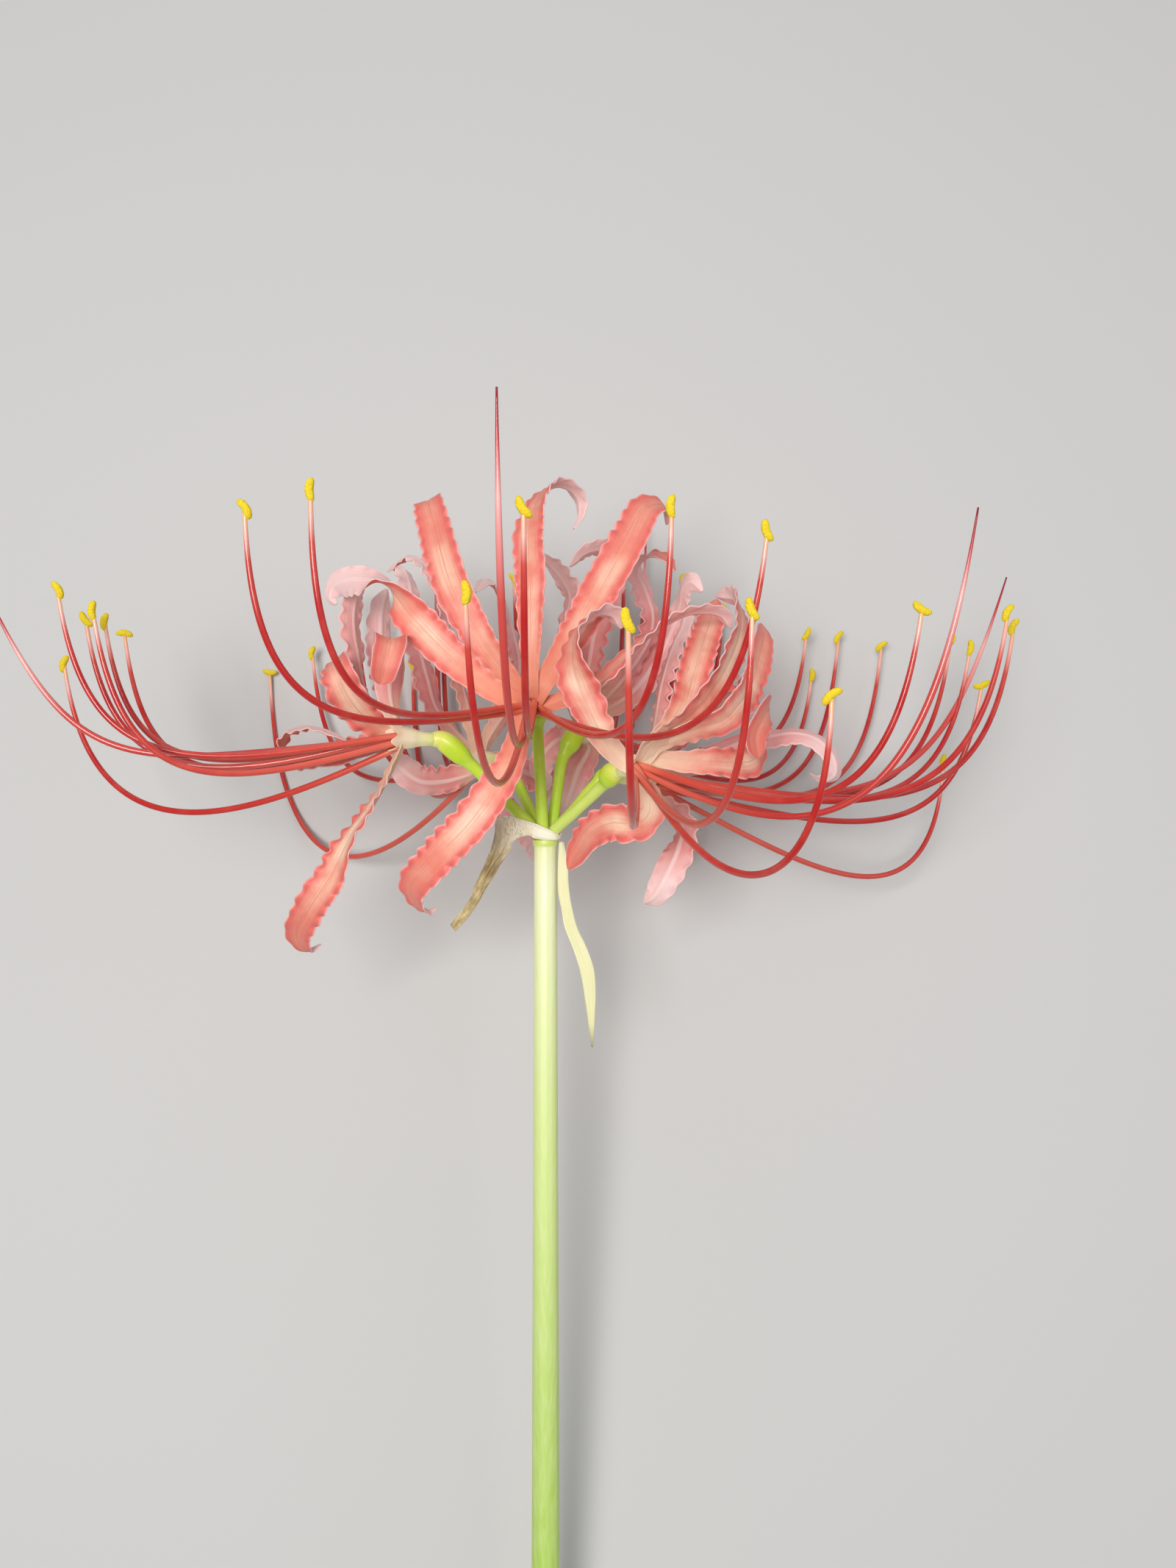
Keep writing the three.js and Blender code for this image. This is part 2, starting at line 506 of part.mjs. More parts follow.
// Pedicel from the receptacle, and the ovary that it swells into behind the floret's tube. Each ring of
// the body takes its radius from PEDICEL_RADII up to the ovary and from OVARY_RADII along it.
function pedicelAndOvary(floret) {
  const axis = vector(floret.axis).normalize();
  const end = vector(floret.throat).addScaledVector(axis, -TUBE_LENGTH - NODE_GAP);
  const neck = end.clone().addScaledVector(axis, -OVARY_NECK);
  const ovary = vector(floret.ovary);
  const foot = ovary.clone().setY(0).normalize().multiplyScalar(PEDICEL_SPREAD).setY(-RECEPTACLE_HEIGHT / 2);
  const middle = foot.clone().lerp(ovary, 0.5);
  const stem = new THREE.CatmullRomCurve3([foot, middle, ovary, neck, end]);
  const ovaryShare = 1 - ovary.distanceTo(end) / stem.getLength();
  const stemShares = PEDICEL_RADII.map((_, i) => (ovaryShare * i) / PEDICEL_RADII.length);
  const ovaryStep = (1 - ovaryShare) / (OVARY_RADII.length - 1);
  const ovaryShares = OVARY_RADII.map((_, i) => Math.min(1, ovaryShare + ovaryStep * i));
  const radii = [...PEDICEL_RADII, ...OVARY_RADII];
  const frames = carriedFrames(stem, [...stemShares, ...ovaryShares], FILAMENT_SIDEWAYS);
  return loft(frames.map((frame, i) => corners(PEDICEL_SIDES).map(([x, y]) => frame.point.clone()
    .addScaledVector(frame.width, radii[i] * x)
    .addScaledVector(frame.inner, radii[i] * y))));
}

// Stalk, cut square at its foot, with the small receptacle that carries the pedicels at its top.
function stalkMesh() {
  const profile = [[0, -STALK_LENGTH], [STALK_FOOT_RADIUS, -STALK_LENGTH],
    [STALK_TOP_RADIUS, -RECEPTACLE_HEIGHT - RECEPTACLE_BEVEL], [RECEPTACLE_RADIUS, -RECEPTACLE_HEIGHT],
    [RECEPTACLE_RADIUS, -RECEPTACLE_BEVEL], [STALK_TOP_RADIUS, 0], [0, 0]];
  const stalk = turned(profile, vector([0, 0, 0]), PLANT_UP, STALK_SIDES);
  return fusedMesh('stalk', [stalk, ...FLORETS.map(pedicelAndOvary)], COLOURS.stalk, 0.45);
}

// A bract is the strip between its two margins, whose points lie opposite each other.
const BRACTS = [
  {
    name: 'bract_dry',
    colour: COLOURS.dryBract,
    left: [[0.4, 1.9, 3.7], [-1.6, 2.7, 3.9], [-4.5, 3.6, 4.6], [-7.4, 4.3, 5.5], [-8.6, 3.4, 5.7],
      [-8.9, 1.2, 5.5], [-9.7, -1.8, 5], [-11, -5, 4.4], [-12.4, -7.9, 4], [-13.5, -10.8, 3.8],
      [-15.4, -13.4, 3.4], [-17.2, -15.6, 3.1]],
    right: [[0.4, -0.2, 3.2], [-1.6, 0, 3.5], [-3, 0.6, 4], [-4.6, 0.1, 4.7], [-5.7, -0.7, 5],
      [-6.6, -1.8, 5.1], [-7.5, -3, 5], [-9, -5.8, 4.5], [-10.6, -8.8, 4.1], [-12, -11.6, 3.8],
      [-14, -14.4, 3.4], [-16.2, -16.8, 3.1]],
  },
  {
    name: 'bract_pale',
    colour: COLOURS.paleBract,
    left: [[3, -1, 1.6], [2.5, -4.4, 2], [2.6, -9.8, 2.2], [2.9, -12.7, 2], [3.5, -16.1, 2],
      [5, -20, 2], [6.3, -24, 2], [7.1, -28.5, 1.6], [7.8, -33.5, 1.2], [8.4, -38.2, 0.4]],
    right: [[3.6, -1, 1], [4.1, -4.8, 1.4], [4.3, -9, 1.7], [4.9, -12.7, 2], [5.8, -16.1, 2.2],
      [7.6, -20, 2.2], [8.9, -24, 2], [9.2, -28.5, 1.6], [9, -33.5, 1.2], [8.8, -38.4, 0.4]],
  },
];

function bractMesh({ name, colour, left, right }) {
  const margins = [left, right].map((points) => new THREE.CatmullRomCurve3(points.map(vector)));
  const places = Array.from({ length: BRACT_STEPS + 1 }, (_, i) => i / BRACT_STEPS);
  const across = places.map((place) => margins.map((margin) => margin.getPoint(place)));
  const middles = new THREE.CatmullRomCurve3(across.map(([a, b]) => a.clone().lerp(b, 0.5)));
  const rings = across.map(([a, b], i) => {
    const along = middles.getTangent(places[i]);
    const width = a.clone().sub(b).normalize();
    const inner = along.clone().cross(width).normalize();
    const frame = { point: a.clone().lerp(b, 0.5), along, width, inner };
    const crumple = BRACT_CRUMPLE * Math.min(1, places[i] / BRACT_CRUMPLE_START) * (-1) ** i;
    return bladeSection(frame, 0, a.distanceTo(b) / 2, BRACT_THICKNESS, 0, [crumple, -crumple]);
  });
  return fusedMesh(name, [loft(rings, isOuterFace)], colour, 0.75);
}

// Lays the plant on its back, and puts the origin under the middle of its bounding box.
function laidDown(meshes) {
  const plant = new THREE.Group();
  plant.add(...meshes);
  plant.rotation.x = LAID_TILT;
  plant.position.z = HEAD_HEIGHT;
  plant.updateMatrixWorld(true);
  const box = new THREE.Box3().setFromObject(plant, true);
  const middle = box.getCenter(new THREE.Vector3());
  plant.position.sub(vector([middle.x, middle.y, box.min.z]));
  const part = new THREE.Group();
  part.add(plant);
  return part;
}

export default laidDown([stalkMesh(), ...BRACTS.map(bractMesh), ...FLORETS.flatMap(floretMeshes)]);
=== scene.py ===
"""Red spider lily, cut and laid on its back, in fine pieces. Metres, +Z up."""

import math
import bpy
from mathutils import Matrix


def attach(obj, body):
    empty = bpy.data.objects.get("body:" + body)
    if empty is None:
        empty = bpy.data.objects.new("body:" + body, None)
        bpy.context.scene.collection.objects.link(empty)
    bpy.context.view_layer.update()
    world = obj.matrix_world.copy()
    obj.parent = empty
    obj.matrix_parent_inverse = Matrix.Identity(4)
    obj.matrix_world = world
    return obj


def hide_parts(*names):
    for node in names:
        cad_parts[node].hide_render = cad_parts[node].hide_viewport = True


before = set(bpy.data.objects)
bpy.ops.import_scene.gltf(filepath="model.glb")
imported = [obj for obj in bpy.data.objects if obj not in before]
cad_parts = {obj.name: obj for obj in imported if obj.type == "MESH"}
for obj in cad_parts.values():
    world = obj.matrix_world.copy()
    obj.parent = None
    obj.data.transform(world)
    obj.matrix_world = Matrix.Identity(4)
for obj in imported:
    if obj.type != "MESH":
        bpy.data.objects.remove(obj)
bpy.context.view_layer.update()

from types import SimpleNamespace

import bpy
import numpy as np
from mathutils import Matrix, Vector

# The plant in millimetres, in its own frame: origin at the top of the stalk, X to the right, Y up
# along the stalk and Z out of the flower's front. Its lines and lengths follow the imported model's;
# the turns of some anthers and a few radii differ.
MILLIMETRE = 0.001
FULL_TURN = 2 * math.pi
PLANT_UP = np.array([0, 1.0, 0])
PLANT_FRONT = np.array([0, 0, 1.0])
LEVEL = 1 - PLANT_UP
STALK_LENGTH = 240
STALK_TOP_RADIUS = 2.1
STALK_FOOT_RADIUS = 3
RECEPTACLE_HEIGHT = 3
PEDICEL_RADII = (1.1, 1.1, 1.05, 1, 1.05)
OVARY_RADII = (1.2, 1.75, 1.95, 1.8, 1.3)
OVARY_NECK = 1.5
TUBE_LENGTH = 4.6
TUBE_FOOT_RADIUS = 1.2
NODE_GAP = 0.3
TEPAL_THICKNESS = 0.7
TEPAL_ROOT_DEPTH = 1
TEPAL_ROOT_RADIUS = 1.2
FILAMENT_RADIUS = 0.6
FILAMENT_ROOT_HEIGHT = 1
HUB_RADIUS = 0.95
ANTHER_LENGTH = 3.2
ANTHER_RADIUS = 0.72

# The plant lies on its back, and its stalk rises from the foot at this angle.
LAID_TILT = math.radians(9.6)
UPWARDS = np.array([0, math.sin(LAID_TILT), math.cos(LAID_TILT)])
HEAD_HEIGHT = STALK_LENGTH * math.sin(LAID_TILT) + STALK_FOOT_RADIUS * math.cos(LAID_TILT)

# Camera: where it stood before the plant, its focal length in photo pixels and the photo's height.
CAMERA_AT = (7.8, 9.9, 220)
FOCAL_PIXELS = 1628
PHOTO_HEIGHT = 2133
SENSOR = 36

FLORETS = []


def unit(vectors):
    return vectors / np.linalg.norm(vectors, axis=-1, keepdims=True)


def tepal(width, turns, *way, frill=1, fold=0, end=1):
    """A tepal follows its way points; its blade turns about that line by the angles in turns. Fold
    is how far its margins stand up, and end the share of the outline at which a blunt one stops."""
    return SimpleNamespace(width=width, turns=turns, way=way, frill=frill, fold=fold, end=end)


def stamen(tip, launch, lean=8, out=0.62, up=0.5, nod=0):
    """A stamen or style leaves the throat at the launch angle and rises to its tip."""
    return SimpleNamespace(tip=np.array(tip, float), launch=launch, lean=lean, out=out, up=up, nod=nod)


def add_floret(throat, axis, ovary, cream, frill, bell, tepals, stamens, style):
    """Cream is how pale the claws are, frill how strongly the margins are crimped, and bell how far
    the claws stay together in front of the tube before they spread."""
    FLORETS.append(SimpleNamespace(
        throat=np.array(throat, float), axis=unit(np.array(axis, float)), ovary=np.array(ovary, float),
        cream=cream, frill=frill, bell=bell, tepals=tepals, stamens=stamens, style=style))


add_floret(throat=[-2, 23.5, 13], axis=[-0.1, 0.02, 1], ovary=[-1.3, 20, 4.5],
    cream=0.15, frill=0.85, bell=0, tepals=[
    tepal(5.4, [0, 0, 0, 0, 5, 20, 45, 38, 0, 5], [-2, 27, 15.5], [-2, 43, 16], [-2.3, 54, 12.5],
        [-0.5, 61, 8], [1.9, 63.5, 5], [4.7, 63.6, 2], [6.3, 61.9, 0], [6.4, 59.2, 0], [5.2, 56.6, 1]),
    tepal(6.2, [0, 0, 0], [-6, 28.5, 16], [-10.5, 34.5, 18], [-15.5, 44, 17], [-18.5, 53.5, 13],
        [-20.5, 60, 8], [-20.5, 59, 1]),
    tepal(6.6, [0, 0, 0, 0, 15, 60, 150, 190, 225, 250], [-6, 24.5, 15.5], [-12, 28.5, 17], [-17, 33, 18],
        [-22.5, 39, 18], [-26.9, 44.2, 16], [-30.2, 45, 14], [-34.1, 45.4, 11], [-37.2, 44.8, 8],
        [-38, 42.9, 7], [-36.9, 41.9, 7]),
    tepal(6.6, [0, 0, 0], [-3.5, 20, 15], [-5.5, 13, 19], [-11, 4.5, 21], [-18, -3, 19], [-22.5, -8.5, 14],
        [-20.5, -12.5, 10], [-19, -12, 9]),
    tepal(6.6, [0, 0, 0], [0, 26.5, 15.5], [5, 35, 13], [10.5, 45, 10], [15, 53.5, 7], [18.5, 60, 3],
        [22, 61, -1], [22.5, 58.5, -4]),
    tepal(5.8, [40, 75, 95, 100, 90], [1, 23.5, 14], [8, 26.5, 13], [14.5, 32, 11], [20, 37, 11],
        [26, 40, 10], [31.5, 40, 7], [33.5, 38, 4]),
], stamens=[
    stamen([-30, 50, 57], -8, lean=0, up=0.6),
    stamen([-41, 49, 50], -10, lean=2, up=0.56, nod=30),
    stamen([-0.5, 45.5, 66], -22, nod=35),
    stamen([-8, 34.5, 66], -42),
    stamen([19, 47, 60], -18, lean=2, up=0.6),
    stamen([33, 45.5, 52], -18, up=0.56, nod=25),
], style=stamen([-3.5, 59, 72], -28, lean=4))
add_floret(throat=[-24, 18, 10], axis=[-1, 0.05, 0.42], ovary=[-13.1, 13.4, 6.2],
    cream=0.75, frill=1, bell=2.8, tepals=[
    tepal(5.8, [5, 18, 65, 85, 75], [-25, 15.5, 11], [-29, 6, 17], [-32, 1.5, 18], [-35.5, -5.5, 18],
        [-40, -12, 16], [-42.5, -16.5, 12], [-41.5, -19.5, 9], [-39.5, -18.5, 8]),
    tepal(6.2, [0, 0, 0, 20, 20], [-27.5, 19.5, 8], [-31, 21.5, 11], [-33.5, 25, 14.5], [-35, 29, 15.5],
        [-36, 31.2, 12.5], [-35.4, 32, 9.5]),
    tepal(5.6, [30, 60, 75, 75, 75], [-27, 20.5, 6], [-32, 26, 5.5], [-33.8, 33.5, 5], [-34.8, 40, 3.5],
        [-34.3, 45.5, 2], [-34.3, 49, -4]),
    tepal(5.6, [25, 55, 70, 70, 65], [-27, 21, 3], [-29.5, 28.5, -1], [-31, 35.5, -4], [-31.2, 42.5, -5.5],
        [-30.5, 47, -8]),
    tepal(5.4, [70, 95, 98, 100, 112], [-25.4, 20.6, 12], [-26.3, 24.5, 13.8], [-26.2, 28.8, 15.4],
        [-26.2, 32, 16.6], [-25.3, 34, 20.3], [-24.7, 32.8, 23.2], [-25.4, 29.6, 24], [-26.3, 26.3, 23.2],
        frill=0.2, fold=0.22, end=0.94),
    tepal(5.4, [0, -20, -72, -31, -15], [-27, 17.5, 5], [-31, 17.2, 2], [-38.6, 15.4, -2],
        [-45.5, 13.6, -4.5], [-49.4, 15.4, -4.5], [-49, 18.6, -3.2], [-45, 20.2, -1], [-40.6, 19.6, 1],
        [-35.9, 17.7, 3]),
], stamens=[
    stamen([-80, 42, 22], -10, nod=20),
    stamen([-72.5, 38, 26], -18, up=0.56, nod=-10),
    stamen([-79, 39, 5], -10, nod=-15),
    stamen([-80.5, 38.5, -8], -12, nod=75),
    stamen([-88.5, 32, 0], -28, nod=-25),
    stamen([-79.5, 38.5, 12], -15, nod=30),
], style=stamen([-93, 42.5, 20], -6, lean=24))
add_floret(throat=[16, 12.5, 18], axis=[0.55, 0.05, 0.83], ovary=[10.6, 9.9, 9],
    cream=0.85, frill=0.95, bell=0, tepals=[
    tepal(6.6, [0, 10, 80, 95, 75], [14, 13.5, 19.5], [11, 16.5, 20.5], [7.7, 23, 20], [6.2, 26.7, 20],
        [5.2, 30.8, 20], [5.7, 34.6, 19.5], [7.4, 37.2, 18.5], [9.7, 38.9, 17], [12.2, 38.7, 15],
        [13.5, 36.8, 13]),
    tepal(5.6, [10, 30, 30, 35, 60], [17.5, 15.5, 17], [22, 20, 16], [24.5, 24, 15], [26, 28.5, 12],
        [27.5, 33, 9], [29.5, 38, 3], [31.2, 42.3, -3], [32, 44.8, -6]),
    tepal(6.6, [0, 0, 0], [18, 16.5, 20], [21.5, 19, 23], [25, 21.5, 25], [28, 25, 24], [31, 30, 22],
        [33, 35, 20], [33.5, 39.5, 17], [33, 42, 13], [30.5, 43, 9]),
    tepal(5.8, [0, 10, 25, 35, 40], [19, 16.3, 19.5], [25, 18.8, 23.5], [30, 20.5, 24.5], [32.5, 23, 23.2],
        [35, 26, 18], [37.5, 31.5, 12], [39, 36, 7], [39.5, 39, 2], frill=0.6),
    tepal(5.6, [10, 15, 20, 5, -25, -48, -70, -88], [19, 14, 17], [24, 13.6, 18.2], [28.5, 13.6, 17.8],
        [33, 13.5, 15.5], [36.5, 14.2, 12.6], [38, 17.5, 11.4], [38.4, 21.2, 12.6], [38.6, 22.6, 15.4],
        [37.3, 21, 18], [35.9, 17.8, 18.8], [36.6, 14.4, 18], frill=0.6, end=0.95),
    tepal(6.4, [0, -25, -50, -72, -76, -72, -70, -70, -72], [16, 10, 18], [17.8, 7.8, 18.6],
        [18.2, 5.5, 18.4], [17.1, 3.7, 17.5], [14.8, 3.1, 15.9], [12, 3.2, 13.9], [8.4, 1.3, 10.7],
        [5.8, -2.6, 7.6], [4.3, -5.4, 6.4]),
], stamens=[
    stamen([12.5, 29, 80], -16, nod=20),
    stamen([29.5, 33, 62], -30, lean=2, up=0.62, nod=25),
    stamen([40, 21.5, 62], -46, lean=2, up=0.62, nod=-50),
    stamen([57.5, 36, 42], -20, up=0.56, nod=65),
    stamen([78, 38.5, 20], -15, nod=-20),
    stamen([82.5, 37.5, 10], -10, nod=-18),
], style=stamen([66.5, 51.5, 40], -28, lean=9, up=0.6))
add_floret(throat=[-12.5, 14.5, -14], axis=[-0.72, 0, -0.7], ovary=[-6.5, 12, -7.8],
    cream=0.5, frill=1.1, bell=2, tepals=[
    tepal(6, [-15, -35, -40, -20, 30], [-14, 18, -14], [-16.5, 28, -12], [-19, 38, -12], [-20.9, 46.8, -14],
        [-22.5, 50.1, -15], [-24.4, 53, -16], [-27.3, 55, -18], [-30.5, 53.9, -20], [-32.8, 52.8, -22]),
    tepal(6, [0, 0, 0], [-15.5, 17.5, -17], [-19.5, 21, -19.5], [-23, 25, -22], [-25, 31, -24],
        [-27, 38, -26], [-28.2, 43.8, -27], [-29.5, 51.6, -29], [-31.4, 55.3, -32], [-33.4, 55.3, -36]),
    tepal(6, [0, 0, 0], [-14, 12.5, -14], [-20, 10.5, -12], [-24.5, 10.5, -10], [-28, 13, -9],
        [-30, 15, -12]),
    tepal(6, [0, 0, -10, -35, -80], [-12.5, 18, -18], [-8.5, 26, -24], [-6.5, 33.5, -28], [-8, 41.5, -30],
        [-10.5, 49.5, -30], [-13, 52, -28], [-15, 49, -24]),
    tepal(6, [0, 0, 0], [-12.5, 11.5, -18.5], [-9.8, 6.5, -23], [-7, 2.5, -28.5], [-4, -2, -34],
        [-3, -7, -39]),
    tepal(6, [0, 0, 0], [-10.5, 14.5, -20], [-4.5, 12, -27], [0, 10, -33], [4, 9, -39], [8, 10, -43]),
], stamens=[
    stamen([-63.5, 35, -48], -44, lean=4, up=0.8, nod=80),
    stamen([-53.5, 39, -46], -14, nod=-18),
    stamen([-31.5, 36.5, -48], -24, lean=4, out=0.7, up=0.7, nod=30),
    stamen([-43.5, 51, -42], -20, nod=-20),
    stamen([-38, 50, -46], -24),
    stamen([-25, 57, -47], -24, nod=20),
], style=stamen([-26, 67, -44], -20))
add_floret(throat=[7, 20, -12], axis=[0.25, 0.1, -1], ovary=[3.1, 14.8, -4],
    cream=0.5, frill=1.1, bell=2, tepals=[
    tepal(6, [-40, -75, -80, -84, -45], [9, 24, -15], [15, 31, -15], [19.5, 38, -13], [20.2, 42.7, -12],
        [18.7, 47.3, -11], [17.1, 50.9, -9], [19, 53.1, -7], [21.8, 52.1, -4], [23.8, 49.3, -1]),
    tepal(6, [15, 35, 45, 20, 30], [5.5, 24, -15], [3.5, 32.5, -15], [3.2, 40, -14], [4.5, 46.2, -12],
        [3, 49.3, -11], [0.7, 52.1, -10], [-1.2, 54, -8]),
    tepal(6, [0, 0, -20, -50, -90], [6.5, 24, -16], [8, 33, -18], [9.5, 41.5, -18], [12, 49.5, -17],
        [13.5, 54, -14], [10.5, 55, -10], [7, 53.5, -6], [4.5, 50.5, -3]),
    tepal(6, [0, 0, 20, 50, 60], [10, 23.5, -13.5], [16, 27.5, -17], [21.5, 34.5, -18], [25, 41.5, -17],
        [26, 45, -15.5], [26.4, 48, -12.5], [27.8, 48.6, -9.8], [29.6, 46.6, -8.2]),
    tepal(6, [0, 0, 0], [8, 17, -15], [6, 13, -17], [4, 7.5, -18], [2.5, 3, -17]),
    tepal(6, [0, 0, 0], [3.5, 19, -14.5], [1.5, 18.5, -19], [-1, 16, -21], [-2, 12.5, -22],
        [-0.5, 8.5, -24]),
], stamens=[
    stamen([56, 43, -44], -12, nod=-22),
    stamen([57.5, 34, -46], -18),
    stamen([16, 59, -50], -24, nod=-25),
    stamen([29, 55.5, -48], -22),
    stamen([-9, 56, -50], -24, nod=30),
    stamen([38, 48.5, -47], -20),
], style=stamen([21, 68, -50], -24))
add_floret(throat=[17.5, 11, -8], axis=[0.92, -0.05, -0.38], ovary=[9.2, 9.8, -4.4],
    cream=0.6, frill=1, bell=2, tepals=[
    tepal(6, [0, 70, 90], [19.5, 7, -7], [23.5, 5, -5], [25.5, 2.5, -3], [24.5, -2, 0], [22, -7, 2],
        [20, -10.5, 1.5], [18, -12, 0]),
    tepal(6, [0, 20, 40, 55, 72], [19.5, 12, -4.5], [28, 14, -3], [36.5, 17.5, -2], [41.5, 18.5, -1],
        [46, 19, 0.5], [50, 17.5, 2.5], [52.3, 13.8, 4], [52, 11.5, 4.5], [50, 10.6, 3.5], [48.3, 11.8, 2],
        frill=0.25),
    tepal(6, [0, 0, 0], [19, 13.5, -8], [20.5, 20.5, -7], [22, 29, -6], [24, 35.5, -6], [26, 40, -7],
        [26.5, 43, -10]),
    tepal(6, [0, 0, 0], [20, 13, -12], [26.5, 19.5, -16], [33.5, 25.5, -20], [39, 31, -22], [42, 37, -22]),
    tepal(6, [0, 0, 0], [18, 10.5, -13], [18, 10, -21], [20, 10, -30], [24, 11.5, -38], [29, 14, -44],
        [33, 18, -46]),
    tepal(6, [0, 0, 0], [20, 9, -13], [25, 6, -20], [27.5, 2.5, -27], [28, -3, -32], [25.5, -8, -34]),
], stamens=[
    stamen([63.5, 42.5, -46], -10, nod=-25),
    stamen([73, 40.5, -46], -10, nod=-45),
    stamen([80.5, 38.5, -20], -10, nod=-25),
    stamen([82.5, 36.5, -14], -10),
    stamen([81.5, 28.5, -4], -15, nod=-62),
    stamen([81.5, 14.5, -28], -28, lean=4, up=0.56),
], style=stamen([90, 50.5, -15], -10, lean=18))

# The pale bract's strip between its left and right margins.
PALE_LEFT = [[2.5, -0.7, 1.1], [2.3, -4.4, 1.5], [2.35, -9.8, 1.8], [2.9, -12.7, 2], [3.5, -16.1, 2],
    [5, -20, 2], [6.3, -24, 2], [7.1, -28.5, 1.6], [7.8, -33.5, 1.2], [8.4, -38.2, 0.4]]
PALE_RIGHT = [[3.4, -0.7, 0.7], [4.1, -4.8, 1.4], [4.3, -9, 1.7], [4.9, -12.7, 2], [5.8, -16.1, 2.2],
    [7.6, -20, 2.2], [8.9, -24, 2], [9.2, -28.5, 1.6], [9, -33.5, 1.2], [8.75, -38.4, 0.4]]

# The dry bract widens from the stalk's top to its fold and hangs down, between its upper and lower
# margins. A torn collar is left of it round the back of the stalk's top.
DRY_UPPER = [[2.75, 0.6, 1.2], [1.6, 1.3, 2.8], [0, 2, 3.2], [-1.6, 2.7, 3.5], [-4.5, 3.6, 4.3],
    [-7.4, 4.3, 5.4], [-8.6, 3.4, 5.7], [-8.9, 1.2, 5.5], [-9.7, -1.8, 5], [-11, -5, 4.4], [-12.4, -7.9, 4],
    [-13.5, -10.8, 3.8], [-15.4, -13.4, 3.4], [-17.2, -15.6, 3.1]]
DRY_LOWER = [[2.5, -0.35, 0.8], [1.9, -0.4, 2], [0, -0.3, 2.8], [-1.6, -0.1, 3], [-3, 0.6, 3.7],
    [-4.6, 0.1, 4.5], [-5.7, -0.7, 5], [-6, -1.9, 5.2], [-7, -3.2, 5.1], [-8.7, -5.9, 4.5],
    [-10.5, -8.8, 4.1], [-12, -11.6, 3.8], [-14, -14.4, 3.4], [-16.2, -16.8, 3.1]]
COLLAR_UPPER = [[2.9, 0.9, 1], [2.4, 0.7, -1.5], [0.2, 1.1, -2.8], [-2.2, 0.8, -1.9], [-2.8, 1, 0.3],
    [-1.9, 0.8, 2.3], [0.2, 1.3, 2.7]]
COLLAR_LOWER = [[2.4, -0.3, 0.7], [2, -0.35, -1.4], [0.1, -0.3, -2.45], [-2, -0.35, -1.5],
    [-2.4, -0.3, 0.4], [-1.6, -0.3, 1.9], [0.2, -0.35, 2.45]]


# Lines, directions and smooth values
CURVE_STEPS = 24
LEAST_SPAN = 1e-4
SOFTENING_SAMPLES = 9
SPARE_VALUES = 4

# Directions that no stem and no axis follows, from which rings start.
STEM_WIDTH = (0.4, 0.2, 0.9)
TURNING_START = (0.31, 0.17, 0.93)


def height_of(points):
    """Height above the surface, in millimetres, of points of the plant."""
    return HEAD_HEIGHT + points @ UPWARDS


def lifted(points, lift):
    """Points of the plant, raised straight up from the surface."""
    return points + np.asarray(lift)[..., None] * UPWARDS


def laid(points, clearance):
    """Points that are at least the clearance above the surface."""
    points = np.array(points, float)
    return lifted(points, np.maximum(clearance - height_of(points), 0))


def smooth_step(share):
    """From 0 to 1, level at both ends."""
    share = np.clip(share, 0, 1)
    return share * share * (3 - 2 * share)


def eased(values, shares):
    """Values at even spacing, joined by smooth steps, at shares of the length."""
    values = np.asarray(values, float)
    place = np.asarray(shares) * (len(values) - 1)
    first = np.clip(place.astype(int), 0, len(values) - 2)
    step = smooth_step(place - first)
    return values[first] * (1 - step) + values[first + 1] * step


def softened(values, shares, reach=0.07):
    """The same, with the steps rounded off over a reach of the length."""
    offsets = np.linspace(-reach, reach, SOFTENING_SAMPLES)
    return np.mean([eased(values, np.clip(shares + offset, 0, 1)) for offset in offsets], axis=0)


def wander(places, period, rng):
    """Smooth random line, about -1 to 1, through random values one period apart."""
    count = int(np.max(places) / period) + SPARE_VALUES
    values = rng.uniform(-1, 1, count)
    return eased(values, np.asarray(places) / period / (count - 1))


def dense_through(points):
    """Centripetal Catmull-Rom curve through points, in even steps from each point to the next."""
    points = np.array(points, float)
    points = np.vstack([2 * points[0] - points[1], points, 2 * points[-1] - points[-2]])
    steps = np.linspace(0, 1, CURVE_STEPS, endpoint=False)[:, None]
    dense = []
    for p0, p1, p2, p3 in zip(points, points[1:], points[2:], points[3:]):
        spans = (p1 - p0, p2 - p1, p3 - p2)
        d0, d1, d2 = [max(np.linalg.norm(span) ** 0.5, LEAST_SPAN) for span in spans]
        t1 = ((p1 - p0) / d0 - (p2 - p0) / (d0 + d1) + (p2 - p1) / d1) * d1
        t2 = ((p2 - p1) / d1 - (p3 - p1) / (d1 + d2) + (p3 - p2) / d2) * d1
        dense.append(p1 + t1 * steps + (3 * (p2 - p1) - 2 * t1 - t2) * steps ** 2
                     + (2 * (p1 - p2) + t1 + t2) * steps ** 3)
    return np.vstack([*dense, points[-2]])


def lengths_along(line):
    """Distance of each of a line's points from its start."""
    return np.concatenate([[0], np.cumsum(np.linalg.norm(np.diff(line, axis=0), axis=1))])


def points_at(line, marks, places):
    """Points of a line at places among the marks of its own points."""
    return np.stack([np.interp(places, marks, values) for values in line.T], -1)


def resampled(dense, shares):
    """Points along a dense line at shares of its length, and that length."""
    lengths = lengths_along(dense)
    return points_at(dense, lengths, shares * lengths[-1]), lengths[-1]


def curve_through(points, shares):
    """Curve through points, at shares of its length, and that length."""
    return resampled(dense_through(points), shares)


def margin_through(points, places):
    """Curve through points, at places from 0 to 1 that run evenly from each point to the next."""
    dense = dense_through(points)
    return points_at(dense, np.linspace(0, 1, len(dense)), places)


def smooth_profile(points, steps):
    """More pairs on a smooth line through the pairs of a profile."""
    dense, _ = curve_through([[*point, 0] for point in points], np.linspace(0, 1, steps))
    return dense[:, :2]


